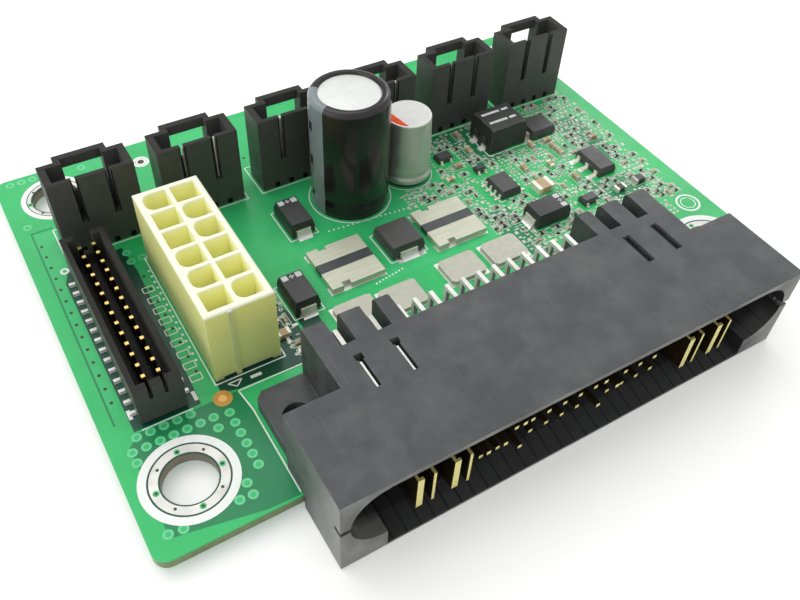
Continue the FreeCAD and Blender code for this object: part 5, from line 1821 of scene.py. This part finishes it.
class POWERBOARD_OT_stage(PowerBoardOperator, bpy.types.Operator):
    """Pale floor, soft light and the camera"""
    bl_idname = "power_board.stage"
    bl_label = "Stage"

    def execute(self, context):
        look = settings().stage
        scene = context.scene
        scene.view_settings.view_transform = "Standard"
        self.floor(scene, look)
        self.world(scene, look)
        self.soft_light(scene, "key_light", (-0.10, 0.33, 0.58), 0.70, look.key)
        self.soft_light(scene, "sheen_light", (0.50, 0.34, 0.36), 0.26, look.sheen)
        self.soft_light(scene, "side_light", (-0.55, -0.05, 0.30), 0.45, look.side)
        self.camera(scene)
        return {"FINISHED"}

    def camera(self, scene):
        """Camera above the front left corner, turned to the board."""
        data = bpy.data.cameras.new("camera")
        data.sensor_fit = "HORIZONTAL"
        data.sensor_width = CAMERA_SENSOR
        data.lens = CAMERA_LENS
        data.clip_start = 0.005
        data.clip_end = 20.0
        camera = bpy.data.objects.new("camera", data)
        forward = Vector(CAMERA_FORWARD).normalized()
        right = Vector(CAMERA_RIGHT).normalized()
        up = right.cross(forward)
        turned = Matrix((right, up, -forward)).transposed().to_4x4()
        camera.matrix_world = Matrix.Translation(CAMERA_PLACE) @ turned
        scene.collection.objects.link(camera)
        scene.camera = camera

    def floor(self, scene, look):
        """Wide floor that curves up into a backdrop far behind."""
        mesh = bmesh.new()
        profile = [(-2.5, 0.0), (1.2, 0.0)]
        profile += [(1.2 + 0.8 * math.sin(math.radians(a)), 0.8 - 0.8 * math.cos(math.radians(a)))
                    for a in range(10, 91, 10)]
        profile.append((2.0, 2.6))
        rows = [[mesh.verts.new((x, y, z)) for y, z in profile] for x in (-3.0, 3.0)]
        for i in range(len(profile) - 1):
            mesh.faces.new((rows[0][i], rows[1][i], rows[1][i + 1], rows[0][i + 1]))
        data = bpy.data.meshes.new("studio_floor")
        mesh.to_mesh(data)
        mesh.free()
        data.shade_smooth()
        data.materials.append(self.floor_material(look))
        floor = bpy.data.objects.new("studio_floor", data)
        floor.location.z = CAD_BOX[0].z
        scene.collection.objects.link(floor)

    def floor_material(self, look):
        """Matt floor that the camera sees as white outside the shadow."""
        material = bpy.data.materials.new("Studio floor")
        material.use_nodes = True
        tree = material.node_tree
        tree.nodes.clear()
        diffuse = tree.nodes.new("ShaderNodeBsdfDiffuse")
        tone = effect(tree, "tone_drift", Color=tuple(look.floor), Scale=3.0, Spread=0.01)["Color"]
        tree.links.new(tone, diffuse.inputs["Color"])
        glow = tree.nodes.new("ShaderNodeEmission")
        tree.links.new(maths(tree, "MULTIPLY", seen_rays(tree), FLOOR_GLOW), glow.inputs["Strength"])
        both = tree.nodes.new("ShaderNodeAddShader")
        tree.links.new(diffuse.outputs[0], both.inputs[0])
        tree.links.new(glow.outputs[0], both.inputs[1])
        output = tree.nodes.new("ShaderNodeOutputMaterial")
        tree.links.new(both.outputs[0], output.inputs["Surface"])
        return material

    def world(self, scene, look):
        """Even light all round that is seen as white."""
        world = bpy.data.worlds.new("studio")
        world.use_nodes = True
        tree = world.node_tree
        tree.nodes.clear()
        lit = tree.nodes.new("ShaderNodeBackground")
        lit.inputs["Strength"].default_value = look.dome
        seen = tree.nodes.new("ShaderNodeBackground")
        for node in (lit, seen):
            node.inputs["Color"].default_value = (1.0, 1.0, 1.0, 1.0)
        both = tree.nodes.new("ShaderNodeMixShader")
        tree.links.new(seen_rays(tree), both.inputs[0])
        tree.links.new(lit.outputs[0], both.inputs[1])
        tree.links.new(seen.outputs[0], both.inputs[2])
        output = tree.nodes.new("ShaderNodeOutputWorld")
        tree.links.new(both.outputs[0], output.inputs["Surface"])
        scene.world = world

    def soft_light(self, scene, name, place, size, power):
        """Square soft light that faces the board."""
        data = bpy.data.lights.new(name, "AREA")
        data.shape = "SQUARE"
        data.size = size
        data.energy = power
        light = bpy.data.objects.new(name, data)
        light.location = place
        light.rotation_euler = (-Vector(place)).to_track_quat("-Z", "Y").to_euler()
        scene.collection.objects.link(light)


OPERATORS = [POWERBOARD_OT_circuit_board, POWERBOARD_OT_power_connector, POWERBOARD_OT_main_header,
             POWERBOARD_OT_small_headers, POWERBOARD_OT_capacitors, POWERBOARD_OT_packages,
             POWERBOARD_OT_chip_parts, POWERBOARD_OT_stage]


class POWERBOARD_PT_panel(bpy.types.Panel):
    """Pieces of the power distribution board"""
    bl_idname = "POWERBOARD_PT_panel"
    bl_label = "Power Board"
    bl_space_type = "VIEW_3D"
    bl_region_type = "UI"
    bl_category = "Power Board"

    def draw(self, context):
        """Lists the operators."""
        for operator in OPERATORS:
            self.layout.operator(operator.bl_idname)


CLASSES = [BoardLook, ConnectorLook, HeaderLook, CapacitorLook, PackageLook, StageLook,
           PowerBoardSettings] + OPERATORS + [POWERBOARD_PT_panel]


def register():
    """Registers the classes and the scene's settings."""
    for item in CLASSES:
        bpy.utils.register_class(item)
    bpy.types.Scene.power_board = bpy.props.PointerProperty(type=PowerBoardSettings)


def unregister():
    """Takes the settings and the classes away again."""
    del bpy.types.Scene.power_board
    for item in reversed(CLASSES):
        bpy.utils.unregister_class(item)


def main():
    """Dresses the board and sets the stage."""
    register()
    bpy.ops.power_board.circuit_board()
    bpy.ops.power_board.power_connector()
    bpy.ops.power_board.main_header()
    bpy.ops.power_board.small_headers()
    bpy.ops.power_board.capacitors()
    bpy.ops.power_board.packages()
    bpy.ops.power_board.chip_parts()
    bpy.ops.power_board.stage()


if __name__ == "__main__":
    main()
